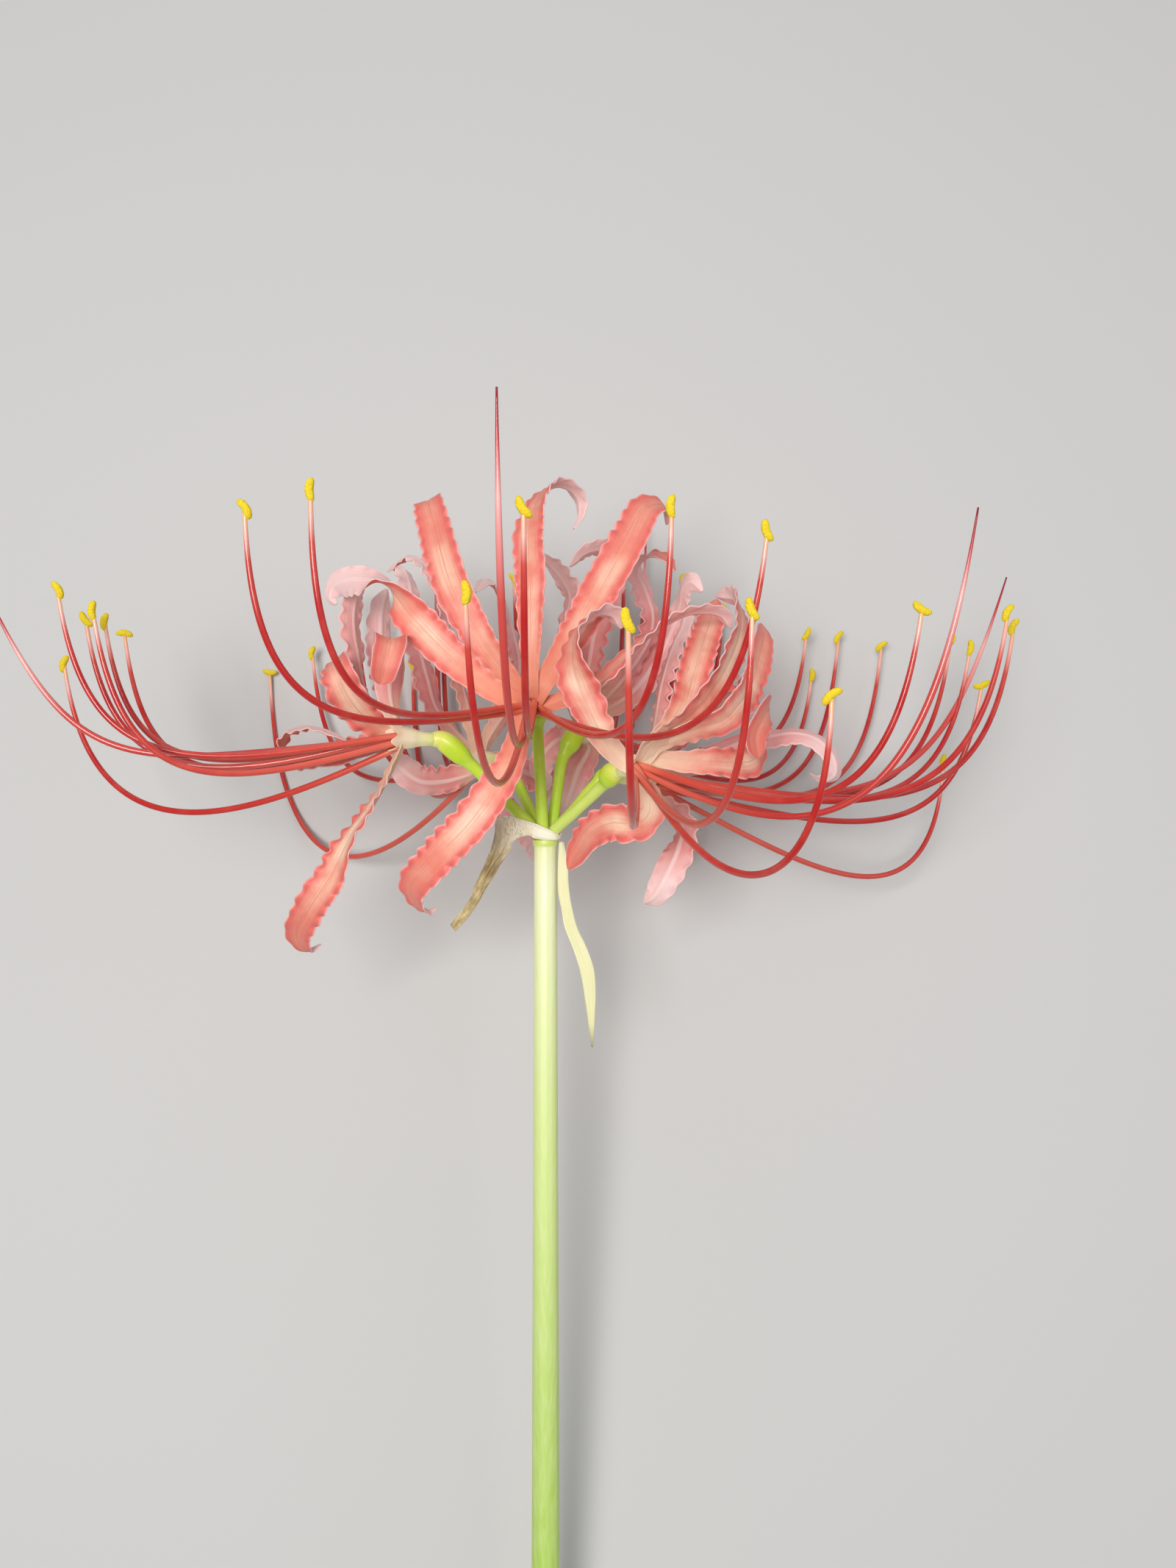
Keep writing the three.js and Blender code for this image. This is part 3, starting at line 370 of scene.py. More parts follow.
def carried(line, first_width):
    """Directions across and towards the inner face, carried along a line without twist."""
    along = unit(np.gradient(line, axis=0))
    width = np.asarray(first_width, float)
    widths = []
    for direction in along:
        width = unit(width - direction * (width @ direction))
        widths.append(width)
    return np.array(widths), np.cross(along, widths)


def beside(line, width, inner, sideways, height):
    """Points beside each point of a line, sideways of it and towards its inner face."""
    return line[:, None] + width[:, None] * sideways[..., None] + inner[:, None] * height[..., None]


def angles(sides):
    """Angles round a ring."""
    return np.linspace(0, FULL_TURN, sides, endpoint=False)


def rings_about(line, radii, first_width=STEM_WIDTH, flatness=1):
    """Rings about a line, with a radius for each station and side."""
    angle = angles(radii.shape[1])
    width, inner = carried(line, first_width)
    return beside(line, width, inner, radii * np.cos(angle), radii * np.sin(angle) * flatness)


def turned(profile, start, axis, swell):
    """Rings of a profile of (radius, distance) pairs about an axis. Swell multiplies the radii, by
    side or by station and side."""
    radius, distance = np.array(profile, float).T[..., None]
    side = unit(np.cross(axis, TURNING_START))
    angle = angles(swell.shape[-1])[:, None]
    outwards = side * np.cos(angle) + np.cross(axis, side) * np.sin(angle)
    return start + axis * distance[..., None] + outwards * (radius * swell)[..., None]


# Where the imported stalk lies
RIM_DEPTH = 2 * MILLIMETRE
LAID_TURN = np.array(Matrix.Rotation(LAID_TILT, 3, "X"))


def foot_centre(stalk):
    """Middle of the stalk's cut end, in metres."""
    points = np.array([vertex.co for vertex in stalk.data.vertices])
    rim = points[points[:, 1] < points[:, 1].min() + RIM_DEPTH]
    return (rim.min(axis=0) + rim.max(axis=0)) / 2


PLANT_ORIGIN = foot_centre(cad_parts["stalk"]) + LAID_TURN @ PLANT_UP * STALK_LENGTH * MILLIMETRE


def to_row(points):
    """Points of the plant, in millimetres, where it lies, in metres."""
    return np.asarray(points) @ LAID_TURN.T * MILLIMETRE + PLANT_ORIGIN


def placed(name, data):
    """A new object of the scene."""
    made = bpy.data.objects.new(name, data)
    bpy.context.scene.collection.objects.link(made)
    return made


class Body:
    """One piece's vertices, faces and values by vertex, gathered from closed lofts."""

    VALUES = ("along", "across", "inner", "tone", "cream")

    def __init__(self):
        self.points = []
        self.faces = []
        self.values = {name: [] for name in self.VALUES}
        self.count = 0

    def loft(self, rings, along, across, inner, tone=0.5, cream=0):
        """Joins rings of points, anticlockwise about the way they follow, into a closed body."""
        stations, size = rings.shape[:2]
        start = self.count
        self.points.append(rings.reshape(-1, 3))
        for name, value in zip(self.VALUES, (along, across, inner, tone, cream)):
            self.values[name].append(np.broadcast_to(value, (stations, size)).ravel())
        ring, corner = np.meshgrid(np.arange(stations - 1), np.arange(size), indexing="ij")
        a = start + ring * size + corner
        b = start + ring * size + (corner + 1) % size
        self.faces.extend(np.stack([a, b, b + size, a + size], -1).reshape(-1, 4).tolist())
        last = start + (stations - 1) * size
        for near in range(size // 2 - 1):
            far = size - 1 - near
            self.faces.append([start + near, start + far, start + far - 1, start + near + 1])
            self.faces.append([last + near, last + near + 1, last + far - 1, last + far])
        self.count += stations * size

    def piece(self, name, material, slot, *nodes):
        """Makes the object, riding on the root body in place of the named nodes."""
        mesh = bpy.data.meshes.new(name)
        mesh.from_pydata(to_row(np.vstack(self.points)), [], self.faces)
        for key, values in self.values.items():
            attribute = mesh.attributes.new(key, "FLOAT", "POINT")
            attribute.data.foreach_set("value", np.concatenate(values).astype(np.float32))
        mesh.polygons.foreach_set("use_smooth", np.ones(len(mesh.polygons), bool))
        mesh.materials.append(material)
        made = placed(name, mesh)
        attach(made, "root")
        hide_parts(*nodes)


# Tepals: outline, strength of the frill and strength of the fold, from the root to the tip
TEPAL_OUTLINE = (0.5, 0.5, 0.66, 0.85, 0.97, 1, 1, 0.96, 0.9, 0.74, 0.2)
FRILL_STRENGTH = (0, 0.15, 0.6, 0.95, 1, 1, 0.95, 0.8, 0.6, 0.4, 0.15)
FOLD_STRENGTH = (0, 0, 0.5, 1, 1, 1, 0.8)
OUTLINE_SOFTENING = 0.04
BLADE_STATIONS = 220
BLADE_COLUMNS = 21
TIP_CROWDING = 1.3
EDGE_CROWDING = 0.86
MOUTH_RADIUS = 1.5
MOUTH_HEIGHT = 0.7
TIP_START = 0.95
TIP_ROUNDING = 0.92

# The channel along the middle, deeper in the claw.
GUTTER = 0.16
CLAW_GUTTER = 0.42
CLAW_END = 0.3
CLAW_FADING = 1.5
GUTTER_SHAPE = 1.6
MIDRIB_GROOVE = 0.16
MIDRIB_KEEL = 0.22
MIDRIB_WIDTH = 0.35

# Waves of the margins, fine and broad: period, share of the drift that they follow, and distance
# over which they swell. Narrow parts of a blade are frilled less.
WAVES = ((2.8, 1.5, 6), (9, 1, 11))
DRIFT = 1.4
DRIFT_PERIOD = 9
SWELL_MIDDLE = 0.8
SWELL_RANGE = 0.4
FINE_RUFFLE = 0.42
FINE_SCALLOP = 0.6
SCALLOP_MIDDLE = 0.6
FINE_START = 0.5
BROAD_RUFFLE = 0.35
BROAD_SHAPE = 2.2
FRILLED_HALF = 2

# Thickness in the middle and at the edges, less where the blade is narrower than a full half width.
BLADE_THICKNESS = 0.5
EDGE_THICKNESS = 0.22
THINNING_SHAPE = 1.5
LEAST_THICKNESS = 0.4
FULL_HALF = 1.2
EDGE_BULGE = 0.08
LEAST_HALF = 0.3

# How high a blade stays above the surface, and how many rings on each side share a lift.
SETTLED_HEIGHT = 0.05
SETTLING_REACH = 6
SETTLING_SHARE = 1.2

# Places across a blade from one edge to the other, closer together towards the edges.
EDGE_ANGLE = FULL_TURN / 4 * EDGE_CROWDING
ACROSS = np.sin(np.linspace(1, -1, BLADE_COLUMNS) * EDGE_ANGLE) / math.sin(EDGE_ANGLE)


def waves(distance, rng):
    """Uneven waves along a margin, at distances from the throat: fine ones and broad ones."""
    drift = DRIFT * wander(distance, DRIFT_PERIOD, rng) + rng.uniform(0, FULL_TURN)
    made = []
    for period, drifting, swell_period in WAVES:
        swell = SWELL_MIDDLE + SWELL_RANGE * wander(distance, swell_period, rng)
        made.append(np.sin(FULL_TURN * distance / period + drifting * drift) * swell)
    return np.array(made)


def settled(rings):
    """Rings lifted one by one until none of them sinks into the surface."""
    lift = np.maximum(SETTLED_HEIGHT - height_of(rings).min(axis=1), 0)
    nearby = np.mean([np.roll(lift, k) for k in range(-SETTLING_REACH, SETTLING_REACH + 1)], axis=0)
    return lifted(rings, np.maximum(lift, nearby * SETTLING_SHARE)[:, None])


def blade_line(floret, each, shares):
    """A tepal's line from inside the tube to its tip, its width and inner directions and its length."""
    points = [laid(point, TEPAL_THICKNESS) for point in each.way]
    outwards = points[0] - floret.throat
    outwards = unit(outwards - floret.axis * (outwards @ floret.axis))
    root = floret.throat + outwards * TEPAL_ROOT_RADIUS - floret.axis * TEPAL_ROOT_DEPTH
    mouth = floret.throat + outwards * MOUTH_RADIUS + floret.axis * MOUTH_HEIGHT
    line, length = curve_through([root, mouth, *points], shares)
    width, inner = carried(line, np.cross(floret.axis, outwards))
    turn = np.radians(softened([0, *each.turns], shares))[:, None]
    cos, sin = np.cos(turn), np.sin(turn)
    return line, width * cos - inner * sin, inner * cos + width * sin, length


def closed(inner_face, edges, outer_face):
    """Values once round a blade: inner face, one edge, outer face backwards and the other edge."""
    return np.hstack([inner_face, edges[:, -1:], outer_face[:, ::-1], edges[:, :1]])


def blade(body, floret, each, rng):
    """One tepal: a channelled claw, then a blade with a grooved midrib and frilled margins."""
    shares = 1 - (1 - np.linspace(0, 1, BLADE_STATIONS)) ** TIP_CROWDING
    line, width, inner, length = blade_line(floret, each, shares)

    half = each.width / 2 * softened(TEPAL_OUTLINE, shares * each.end, OUTLINE_SOFTENING)
    rounding = np.clip((shares - TIP_START) / (1 - TIP_START), 0, 1)
    half = (half * np.sqrt(1 - TIP_ROUNDING * rounding ** 2))[:, None]
    frill = eased(FRILL_STRENGTH, shares)[:, None] * np.minimum(1, half / FRILLED_HALF)
    frill = frill * floret.frill * each.frill
    gutter = GUTTER + (CLAW_GUTTER - GUTTER) * np.clip(1 - shares / CLAW_END, 0, 1) ** CLAW_FADING
    gutter = (gutter + each.fold * eased(FOLD_STRENGTH, shares))[:, None]

    across = np.broadcast_to(ACROSS, (BLADE_STATIONS, BLADE_COLUMNS))
    size = np.abs(across)
    one_side, other_side = [waves(shares * length, rng)[..., None] for _ in range(2)]
    fine, broad = np.where(across > 0, one_side, other_side)
    edge = smooth_step((size - FINE_START) / (1 - FINE_START))
    lobe = np.sqrt(np.clip(0.5 + 0.5 * fine, 0, 1)) - SCALLOP_MIDDLE
    sideways = across * half + np.sign(across) * FINE_SCALLOP * frill * lobe * edge
    height = gutter * half * size ** GUTTER_SHAPE
    height += frill * (FINE_RUFFLE * fine * edge + BROAD_RUFFLE * broad * size ** BROAD_SHAPE)

    taper = np.minimum(1, half / FULL_HALF)
    rib = np.exp(-(across * half / MIDRIB_WIDTH) ** 2) * taper
    thickness = BLADE_THICKNESS + (EDGE_THICKNESS - BLADE_THICKNESS) * size ** THINNING_SHAPE
    thickness = thickness * (LEAST_THICKNESS + (1 - LEAST_THICKNESS) * taper)
    upper = height + thickness / 2 - MIDRIB_GROOVE * rib
    lower = height - thickness / 2 - MIDRIB_KEEL * rib
    bulge = 1 + EDGE_BULGE / np.maximum(half, LEAST_HALF)
    rings = beside(line, width, inner, closed(sideways, sideways * bulge, sideways),
                   closed(upper, height, lower))
    is_inner = np.repeat([1, 0.5, 0, 0.5], [BLADE_COLUMNS, 1, BLADE_COLUMNS, 1])
    body.loft(settled(rings), shares[:, None], closed(across, across, across), is_inner,
              rng.uniform(), floret.cream)


# Tubes. Their values along run from minus a share of a blade's length to nothing at the throat.
TUBE_SHARE = 0.12
TUBE_SIDES = 60
TUBE_STATIONS = 40
TUBE_TONE = 0.6
TUBE_LOBES = 6
TUBE_LOBE_DEPTH = 0.03
BELL_SCALLOP = 0.6
CLOSING_RADIUS = 0.05
FOOT_OVERHANG = 0.05
RIM_STEP = 0.02
DOME_HEIGHT = 0.1


def floret_tube(body, floret):
    """Short tube behind the throat. It ends in a low dome, or in the bell of its claws. Profiles
    are pairs of radius and distance from the tube's foot."""
    outside = [(TUBE_FOOT_RADIUS, 0), (TUBE_FOOT_RADIUS * 1.04, 1.2), (1.45, 2.6), (1.74, 3.6)]
    if floret.bell:
        halfway, rim = TUBE_LENGTH + floret.bell * 0.5, TUBE_LENGTH + floret.bell
        outside += [(1.9, TUBE_LENGTH), (2.15, halfway), (2.6, rim)]
        inside = [(2.4, rim - RIM_STEP), (1.9, halfway), (1.2, TUBE_LENGTH)]
    else:
        dome = TUBE_LENGTH + DOME_HEIGHT
        outside += [(1.7, 4.2), (1.3, TUBE_LENGTH), (0.6, dome)]
        inside = [(0.3, dome)]
    foot = [(CLOSING_RADIUS, -FOOT_OVERHANG), (TUBE_FOOT_RADIUS * 0.96, -FOOT_OVERHANG)]
    end = (CLOSING_RADIUS, inside[-1][1])
    profile = np.array([*foot, *smooth_profile(outside, TUBE_STATIONS), *inside, end])
    distance = profile[:, 1:]
    lobes = np.cos(TUBE_LOBES * angles(TUBE_SIDES))
    start = floret.throat - floret.axis * TUBE_LENGTH
    rings = turned(profile, start, floret.axis, 1 + TUBE_LOBE_DEPTH * lobes)
    beyond = np.clip((distance - TUBE_LENGTH) / max(floret.bell, 1), 0, 1) ** 2
    rings = rings + floret.axis * (beyond * BELL_SCALLOP * lobes)[..., None]
    body.loft(rings, (distance / TUBE_LENGTH - 1) * TUBE_SHARE, 0, 0, TUBE_TONE, floret.cream)


# Stamens and styles. Radii along their lines are shares of the filament's.
RISE_STEPS = 120
LINE_STATIONS = 64
LINE_SIDES = 14
FILAMENT_RADII = (1, 0.97, 0.95, 0.93, 0.9, 0.85, 0.78, 0.5)
STYLE_RADII = (0.95, 0.9, 0.88, 0.88, 0.9, 0.92, 0.85, 0.6, 0.2)
ROOT_SINK = 1.2
SINK_FADING = 12
STEEP = 0.9
ANTHER_STATIONS = 34
ANTHER_SIDES = 24
ANTHER_BEND = 0.5
ANTHER_SEAT = 0.3
ANTHER_FLATNESS = 0.86
ANTHER_GRAIN = 0.05
ANTHER_ROUNDING = 3.2
LEAST_ROUNDING = 0.004
SAC_WAIST = 0.9
SAC_SWELL = 0.13
SAC_SHAPE = 0.7


def rising_line(floret, each, offset):
    """Line of a filament or style, from beside the floret's axis to its tip."""
    reach = each.tip - floret.throat
    chord = np.linalg.norm(reach)
    heading = unit(reach * LEVEL)

    def direction(degrees):
        angle = math.radians(degrees)
        return heading * math.cos(angle) + PLANT_UP * math.sin(angle)

    root = floret.throat + floret.axis * FILAMENT_ROOT_HEIGHT
    first = root + direction(each.launch) * chord * each.out
    second = each.tip - direction(90 - each.lean) * chord * each.up
    at = np.linspace(0, 1, RISE_STEPS)[:, None]
    left = 1 - at
    dense = left ** 3 * root + 3 * left ** 2 * at * first + 3 * left * at ** 2 * second + at ** 3 * each.tip
    dense = dense + offset * left ** 3 - floret.axis * ROOT_SINK * left ** SINK_FADING
    line, _ = resampled(laid(dense, FILAMENT_RADIUS), np.linspace(0, 1, LINE_STATIONS))
    return line


def round_line(body, line, outline, tone, is_style):
    """Round stem along a line. Its outline gives its radii as shares of the filament's."""
    shares = np.linspace(0, 1, LINE_STATIONS)[:, None]
    radii = FILAMENT_RADIUS * softened(outline, shares) * np.ones(LINE_SIDES)
    body.loft(rings_about(line, radii), shares, is_style, 0, tone)


def anther(body, tip, along, rng):
    """Curved sausage of two pollen sacs, grainy with pollen, across the filament's tip."""
    across = PLANT_FRONT if abs(along[2]) < STEEP else np.array([1.0, 0, 0])
    bend = unit(np.cross(along, across)) * rng.choice([-1, 1])
    shares = np.linspace(0, 1, ANTHER_STATIONS)[:, None]
    from_middle = 2 * shares - 1
    line = tip + along * (shares - 0.5) * ANTHER_LENGTH
    line = line + bend * (ANTHER_BEND * (1 - from_middle ** 2) - ANTHER_SEAT)
    cosine = np.cos(angles(ANTHER_SIDES))
    end = np.sqrt(np.clip(1 - np.abs(from_middle) ** ANTHER_ROUNDING, LEAST_ROUNDING, 1))
    section = SAC_WAIST + SAC_SWELL * np.abs(cosine) ** SAC_SHAPE
    grain = rng.normal(0, ANTHER_GRAIN, (ANTHER_STATIONS, ANTHER_SIDES))
    rings = rings_about(laid(line, ANTHER_RADIUS), ANTHER_RADIUS * end * (section + grain), across,
                        ANTHER_FLATNESS)
    body.loft(rings, shares, cosine, 0, rng.uniform())


def stamen_bodies(floret, rng):
    """Filaments with their style as one body, and their anthers as another."""
    lines, anthers = Body(), Body()
    side = unit(np.cross(floret.axis, PLANT_UP if abs(floret.axis[1]) < STEEP else PLANT_FRONT))
    other = np.cross(floret.axis, side)

    def angle_of(each):
        """Direction of a stamen's tip about the floret's axis."""
        reach = each.tip - floret.throat
        return math.atan2(reach @ other, reach @ side)

    order = sorted(floret.stamens, key=angle_of)
    middle = np.mean([angle_of(each) for each in order])
    for place, each in enumerate(order):
        angle = middle + (place - (len(order) - 1) / 2) * FULL_TURN / len(order)
        offset = (side * math.cos(angle) + other * math.sin(angle)) * HUB_RADIUS
        line = rising_line(floret, each, offset)
        round_line(lines, line, FILAMENT_RADII, rng.uniform(), 0)
        nod = np.array(Matrix.Rotation(math.radians(each.nod), 3, "Z"))
        anther(anthers, line[-1], nod @ unit(line[-1] - line[-2]), rng)
    round_line(lines, rising_line(floret, floret.style, np.zeros(3)), STYLE_RADII, rng.uniform(), 1)
    return lines, anthers


# Stalk, pedicels and ovaries
STALK_SIDES = 72
SHAFT_STATIONS = 120
FIRST_SHARE = 0.004
RING_STATIONS = 40
RING_RADIUS = 2.35
RING_DEPTH = 2
CUT_DEPTH = 0.05
CUT_RADII = (0.05, 1, 2, 2.75)
CUT_EDGE_RADIUS = 2.95
CUT_EDGE_RISE = 0.08
RIDGE_DRIFT = 90
PEDICEL_STATIONS = 90
PEDICEL_SIDES = 36
PEDICEL_PROFILE_STATIONS = 80
PEDICEL_FOOT_AT = 0.8
RING_CROSSING_AT = (1.4, 0.6)
SOCKET_DEPTH = 0.1
OVARY_START = 1.5
OVARY_LOBES = 3
OVARY_LOBE_DEPTH = 0.06
LOBE_FADING = 12

# Ridges round the stalk: how many, how deep, and the way they drift along it.
RIDGES = ((9, 0.006, 1), (14, 0.005, -1), (2, 0.008, 1))


def stalk_body(rng):
    """Stalk from its cut foot to the thin ring at its top. Profiles are pairs of radius and height."""
    foot = [*((radius, -STALK_LENGTH) for radius in CUT_RADII),
            (CUT_EDGE_RADIUS, CUT_EDGE_RISE - STALK_LENGTH)]
    shaft = [(STALK_FOOT_RADIUS + (STALK_TOP_RADIUS - STALK_FOOT_RADIUS) * share,
              -STALK_LENGTH * (1 - share) - RING_DEPTH * share)
             for share in np.linspace(FIRST_SHARE, 1, SHAFT_STATIONS)]
    ring = smooth_profile([
        (STALK_TOP_RADIUS, -RING_DEPTH), (STALK_TOP_RADIUS * 1.02, -1.5), (RING_RADIUS, -1.1),
        (RING_RADIUS * 1.01, -0.5), (RING_RADIUS * 0.96, -0.1), (1.9, 0.15), (1.7, 0.6), (1.2, 0.9),
        (0.1, 1)], RING_STATIONS)
    profile = np.array([*foot, *shaft, *ring[1:]])
    height = profile[:, 1:]
    angle = angles(STALK_SIDES)
    swell = 1
    for (count, depth, way), phase in zip(RIDGES, rng.uniform(0, FULL_TURN, len(RIDGES))):
        swell = swell + depth * np.cos(count * angle + phase + way * height / RIDGE_DRIFT)
    is_cut = (height < CUT_DEPTH - STALK_LENGTH).astype(float)
    body = Body()
    body.loft(turned(profile, 0, PLANT_UP, swell), 1 + height / STALK_LENGTH, is_cut, 0)
    return body


def pedicels_body(rng):
    """The six pedicels. Each swells into a three-lobed ovary that ends inside its floret's tube."""
    body = Body()
    shares = np.linspace(0, 1, PEDICEL_STATIONS)
    for floret in FLORETS:
        end = floret.throat - floret.axis * (TUBE_LENGTH + NODE_GAP)
        neck = end - floret.axis * OVARY_NECK
        socket = end + floret.axis * (NODE_GAP + SOCKET_DEPTH)
        heading = unit(floret.ovary * LEVEL)
        foot = heading * PEDICEL_FOOT_AT - PLANT_UP * RECEPTACLE_HEIGHT / 2
        above_ring = heading * RING_CROSSING_AT[0] + PLANT_UP * RING_CROSSING_AT[1]
        halfway = (above_ring + floret.ovary) / 2
        line, length = curve_through([foot, above_ring, halfway, floret.ovary, neck, socket], shares)
        distance = (shares * length)[:, None]
        swelling = length - np.linalg.norm(socket - floret.ovary)

        stem_places = swelling * np.arange(len(PEDICEL_RADII)) / len(PEDICEL_RADII)
        ovary_places = np.linspace(swelling, length - NODE_GAP, len(OVARY_RADII))
        profile = [*zip([*stem_places, *ovary_places], [*PEDICEL_RADII, *OVARY_RADII]),
                   (length, TUBE_FOOT_RADIUS * 0.95)]
        radii = np.interp(distance, *smooth_profile(profile, PEDICEL_PROFILE_STATIONS).T)
        in_ovary = np.clip((distance - swelling) / OVARY_START + 0.5, 0, 1)
        along_ovary = np.clip((distance - swelling) / (length - swelling), 0, 1)
        lobes = np.cos(OVARY_LOBES * angles(PEDICEL_SIDES) + rng.uniform(0, FULL_TURN))
        lobes = 1 + in_ovary * (1 - shares[:, None] ** LOBE_FADING) * OVARY_LOBE_DEPTH * lobes
        body.loft(rings_about(line, radii * lobes), shares[:, None], along_ovary, in_ovary, rng.uniform())
    return body


# Bracts
BRACT_STATIONS = 110
BRACT_COLUMNS = 21
BRACT_THICKNESS = 0.28
EDGE_THINNING = 0.6
EDGE_SHAPE = 3
CREASE_LINES = 5
TEAR_DEPTH = 0.12
TEAR_PERIODS = (0.9, 1.2)

# Creases of a sheet: period and depth.
CREASES = ((6, 0.5), (2.6, 0.3), (1.2, 0.16))

# Sheets of each bract: two margins, and how crumpled it is.
DRY_SHEETS = ((DRY_UPPER, DRY_LOWER, 0.4), (COLLAR_UPPER, COLLAR_LOWER, 0.12))
PALE_SHEETS = ((PALE_LEFT, PALE_RIGHT, 0.1),)


def creases(distance, across, rng):
    """Uneven relief of a sheet, about -1 to 1, between lines of random height along it."""
    place = (across + 1) / 2 * (CREASE_LINES - 1)
    first = np.clip(place.astype(int), 0, CREASE_LINES - 2)
    step = place - first
    rows = np.arange(len(distance))[:, None]
    relief = np.zeros_like(across)
    for period, depth in CREASES:
        lines = np.stack([wander(distance, period, rng) for _ in range(CREASE_LINES)], -1)
        relief = relief + depth * (lines[rows, first] * (1 - step) + lines[rows, first + 1] * step)
    return relief


def both_faces(inner_face, outer_face):
    """Values once round a sheet: its inner face, and its outer face backwards."""
    return np.hstack([inner_face, outer_face[:, ::-1]])


def bract_body(sheets, rng):
    """Thin closed sheets, each between its two margins, creased and torn along its edges."""
    body = Body()
    places = np.linspace(0, 1, BRACT_STATIONS)
    across = np.broadcast_to(np.linspace(1, -1, BRACT_COLUMNS), (BRACT_STATIONS, BRACT_COLUMNS))
    towards_edge = np.abs(across) ** EDGE_SHAPE
    raised = BRACT_THICKNESS / 2 * (1 - EDGE_THINNING * towards_edge)
    for upper, lower, crumple in sheets:
        upper, lower = margin_through(upper, places), margin_through(lower, places)
        line = (upper + lower) / 2
        width = unit(upper - lower)
        inner = unit(np.cross(unit(np.gradient(line, axis=0)), width))
        distance = lengths_along(line)
        relief = creases(distance, across, rng) * crumple
        tears = np.where(across > 0, *[wander(distance, period, rng)[:, None] for period in TEAR_PERIODS])
        half = np.linalg.norm(upper - lower, axis=1)[:, None] / 2
        sideways = across * half * (1 + crumple * TEAR_DEPTH * tears * towards_edge)
        rings = beside(line, width, inner, both_faces(sideways, sideways),
                       both_faces(relief + raised, relief - raised))
        body.loft(rings, places[:, None], both_faces(across, across), np.repeat([1, 0], BRACT_COLUMNS))
    return body


# Materials
class Shader:
    """A node material. Each method adds one or two nodes and gives the last one's output."""

    def __init__(self, name, **sockets):
        self.material = bpy.data.materials.new(name)
        self.material.use_nodes = True
        self.nodes = self.material.node_tree.nodes
        self.surface = self.nodes["Principled BSDF"]
        self.place = self.new("TexCoord").outputs["Object"]
        for key, value in sockets.items():
            self.surface.inputs[key.replace("_", " ")].default_value = value

    def new(self, kind, *inputs, **settings):
        """A node with its settings and its first inputs."""
        node = self.nodes.new("ShaderNode" + kind)
        for key, value in settings.items():
            setattr(node, key, value)
        for socket, value in zip(node.inputs, inputs):
            self.put(socket, value)
        return node

    def put(self, socket, value):
        """Links an output, or sets a plain value."""
        if isinstance(value, bpy.types.NodeSocket):
            self.material.node_tree.links.new(value, socket)
        else:
            socket.default_value = value

    def values(self, *names):
        """Values by vertex, of the mesh."""
        return [self.new("Attribute", attribute_name=name).outputs["Fac"] for name in names]

    def math(self, operation, *values):
        return self.new("Math", *values, operation=operation).outputs[0]

    def times(self, a, b):
        return self.math("MULTIPLY", a, b)

    def plus(self, a, b):
        return self.math("ADD", a, b)

    def scaled(self, value, factor, start):
        """The value times a factor, from a start."""
        return self.math("MULTIPLY_ADD", value, factor, start)

    def vector(self, x, y, z=0):
        return self.new("CombineXYZ", x, y, z).outputs[0]

    def ramp(self, value, *stops):
        """Colours, or greys, at places of a value from 0 to 1. A stop is its place and its shares of
        red, green and blue, or its place and one share."""
        node = self.new("ValToRGB", value)
        elements = node.color_ramp.elements
        while len(elements) < len(stops):
            elements.new(0.5)
        for element, (place, *colour) in zip(elements, stops):
            element.position = place
            element.color = (*colour, 1) if len(colour) == 3 else (*colour * 3, 1)
        return node.outputs[0]

    def mix(self, share, a, b, blend="MIX"):
        node = self.new("Mix", share, data_type="RGBA", blend_type=blend)
        for socket, value in ((node.inputs[6], a), (node.inputs[7], b)):
            self.put(socket, (*value, 1) if isinstance(value, tuple) else value)
        return node.outputs[2]

    def tint(self, colour, other, value, *stops):
        """The colour, turned towards another as far as the stops of a value say."""
        return self.mix(self.ramp(value, *stops), colour, other)

    def noise(self, scale, detail, place=None):
        """Noise with the given number of features a metre, or a unit of another place."""
        node = self.new("TexNoise", self.place if place is None else place)
        node.inputs["Scale"].default_value = scale
        node.inputs["Detail"].default_value = detail
        return node.outputs["Fac"]

    def drawn_out(self, scale):
        """The place, with lengths that run along the stalk scaled."""
        node = self.new("Mapping", self.place)
        node.inputs["Scale"].default_value = (1, scale, 1)
        return node.outputs[0]

    def bump(self, height, strength, depth):
        """Adds relief; depth is in metres."""
        node = self.new("Bump")
        node.inputs["Strength"].default_value = strength
        node.inputs["Distance"].default_value = depth
        self.put(node.inputs["Height"], height)
        self.put(self.surface.inputs["Normal"], node.outputs[0])

    def paint(self, colour, roughness=None):
        self.put(self.surface.inputs["Base Color"], colour)
        if roughness is not None:
            self.put(self.surface.inputs["Roughness"], roughness)
        return self.material


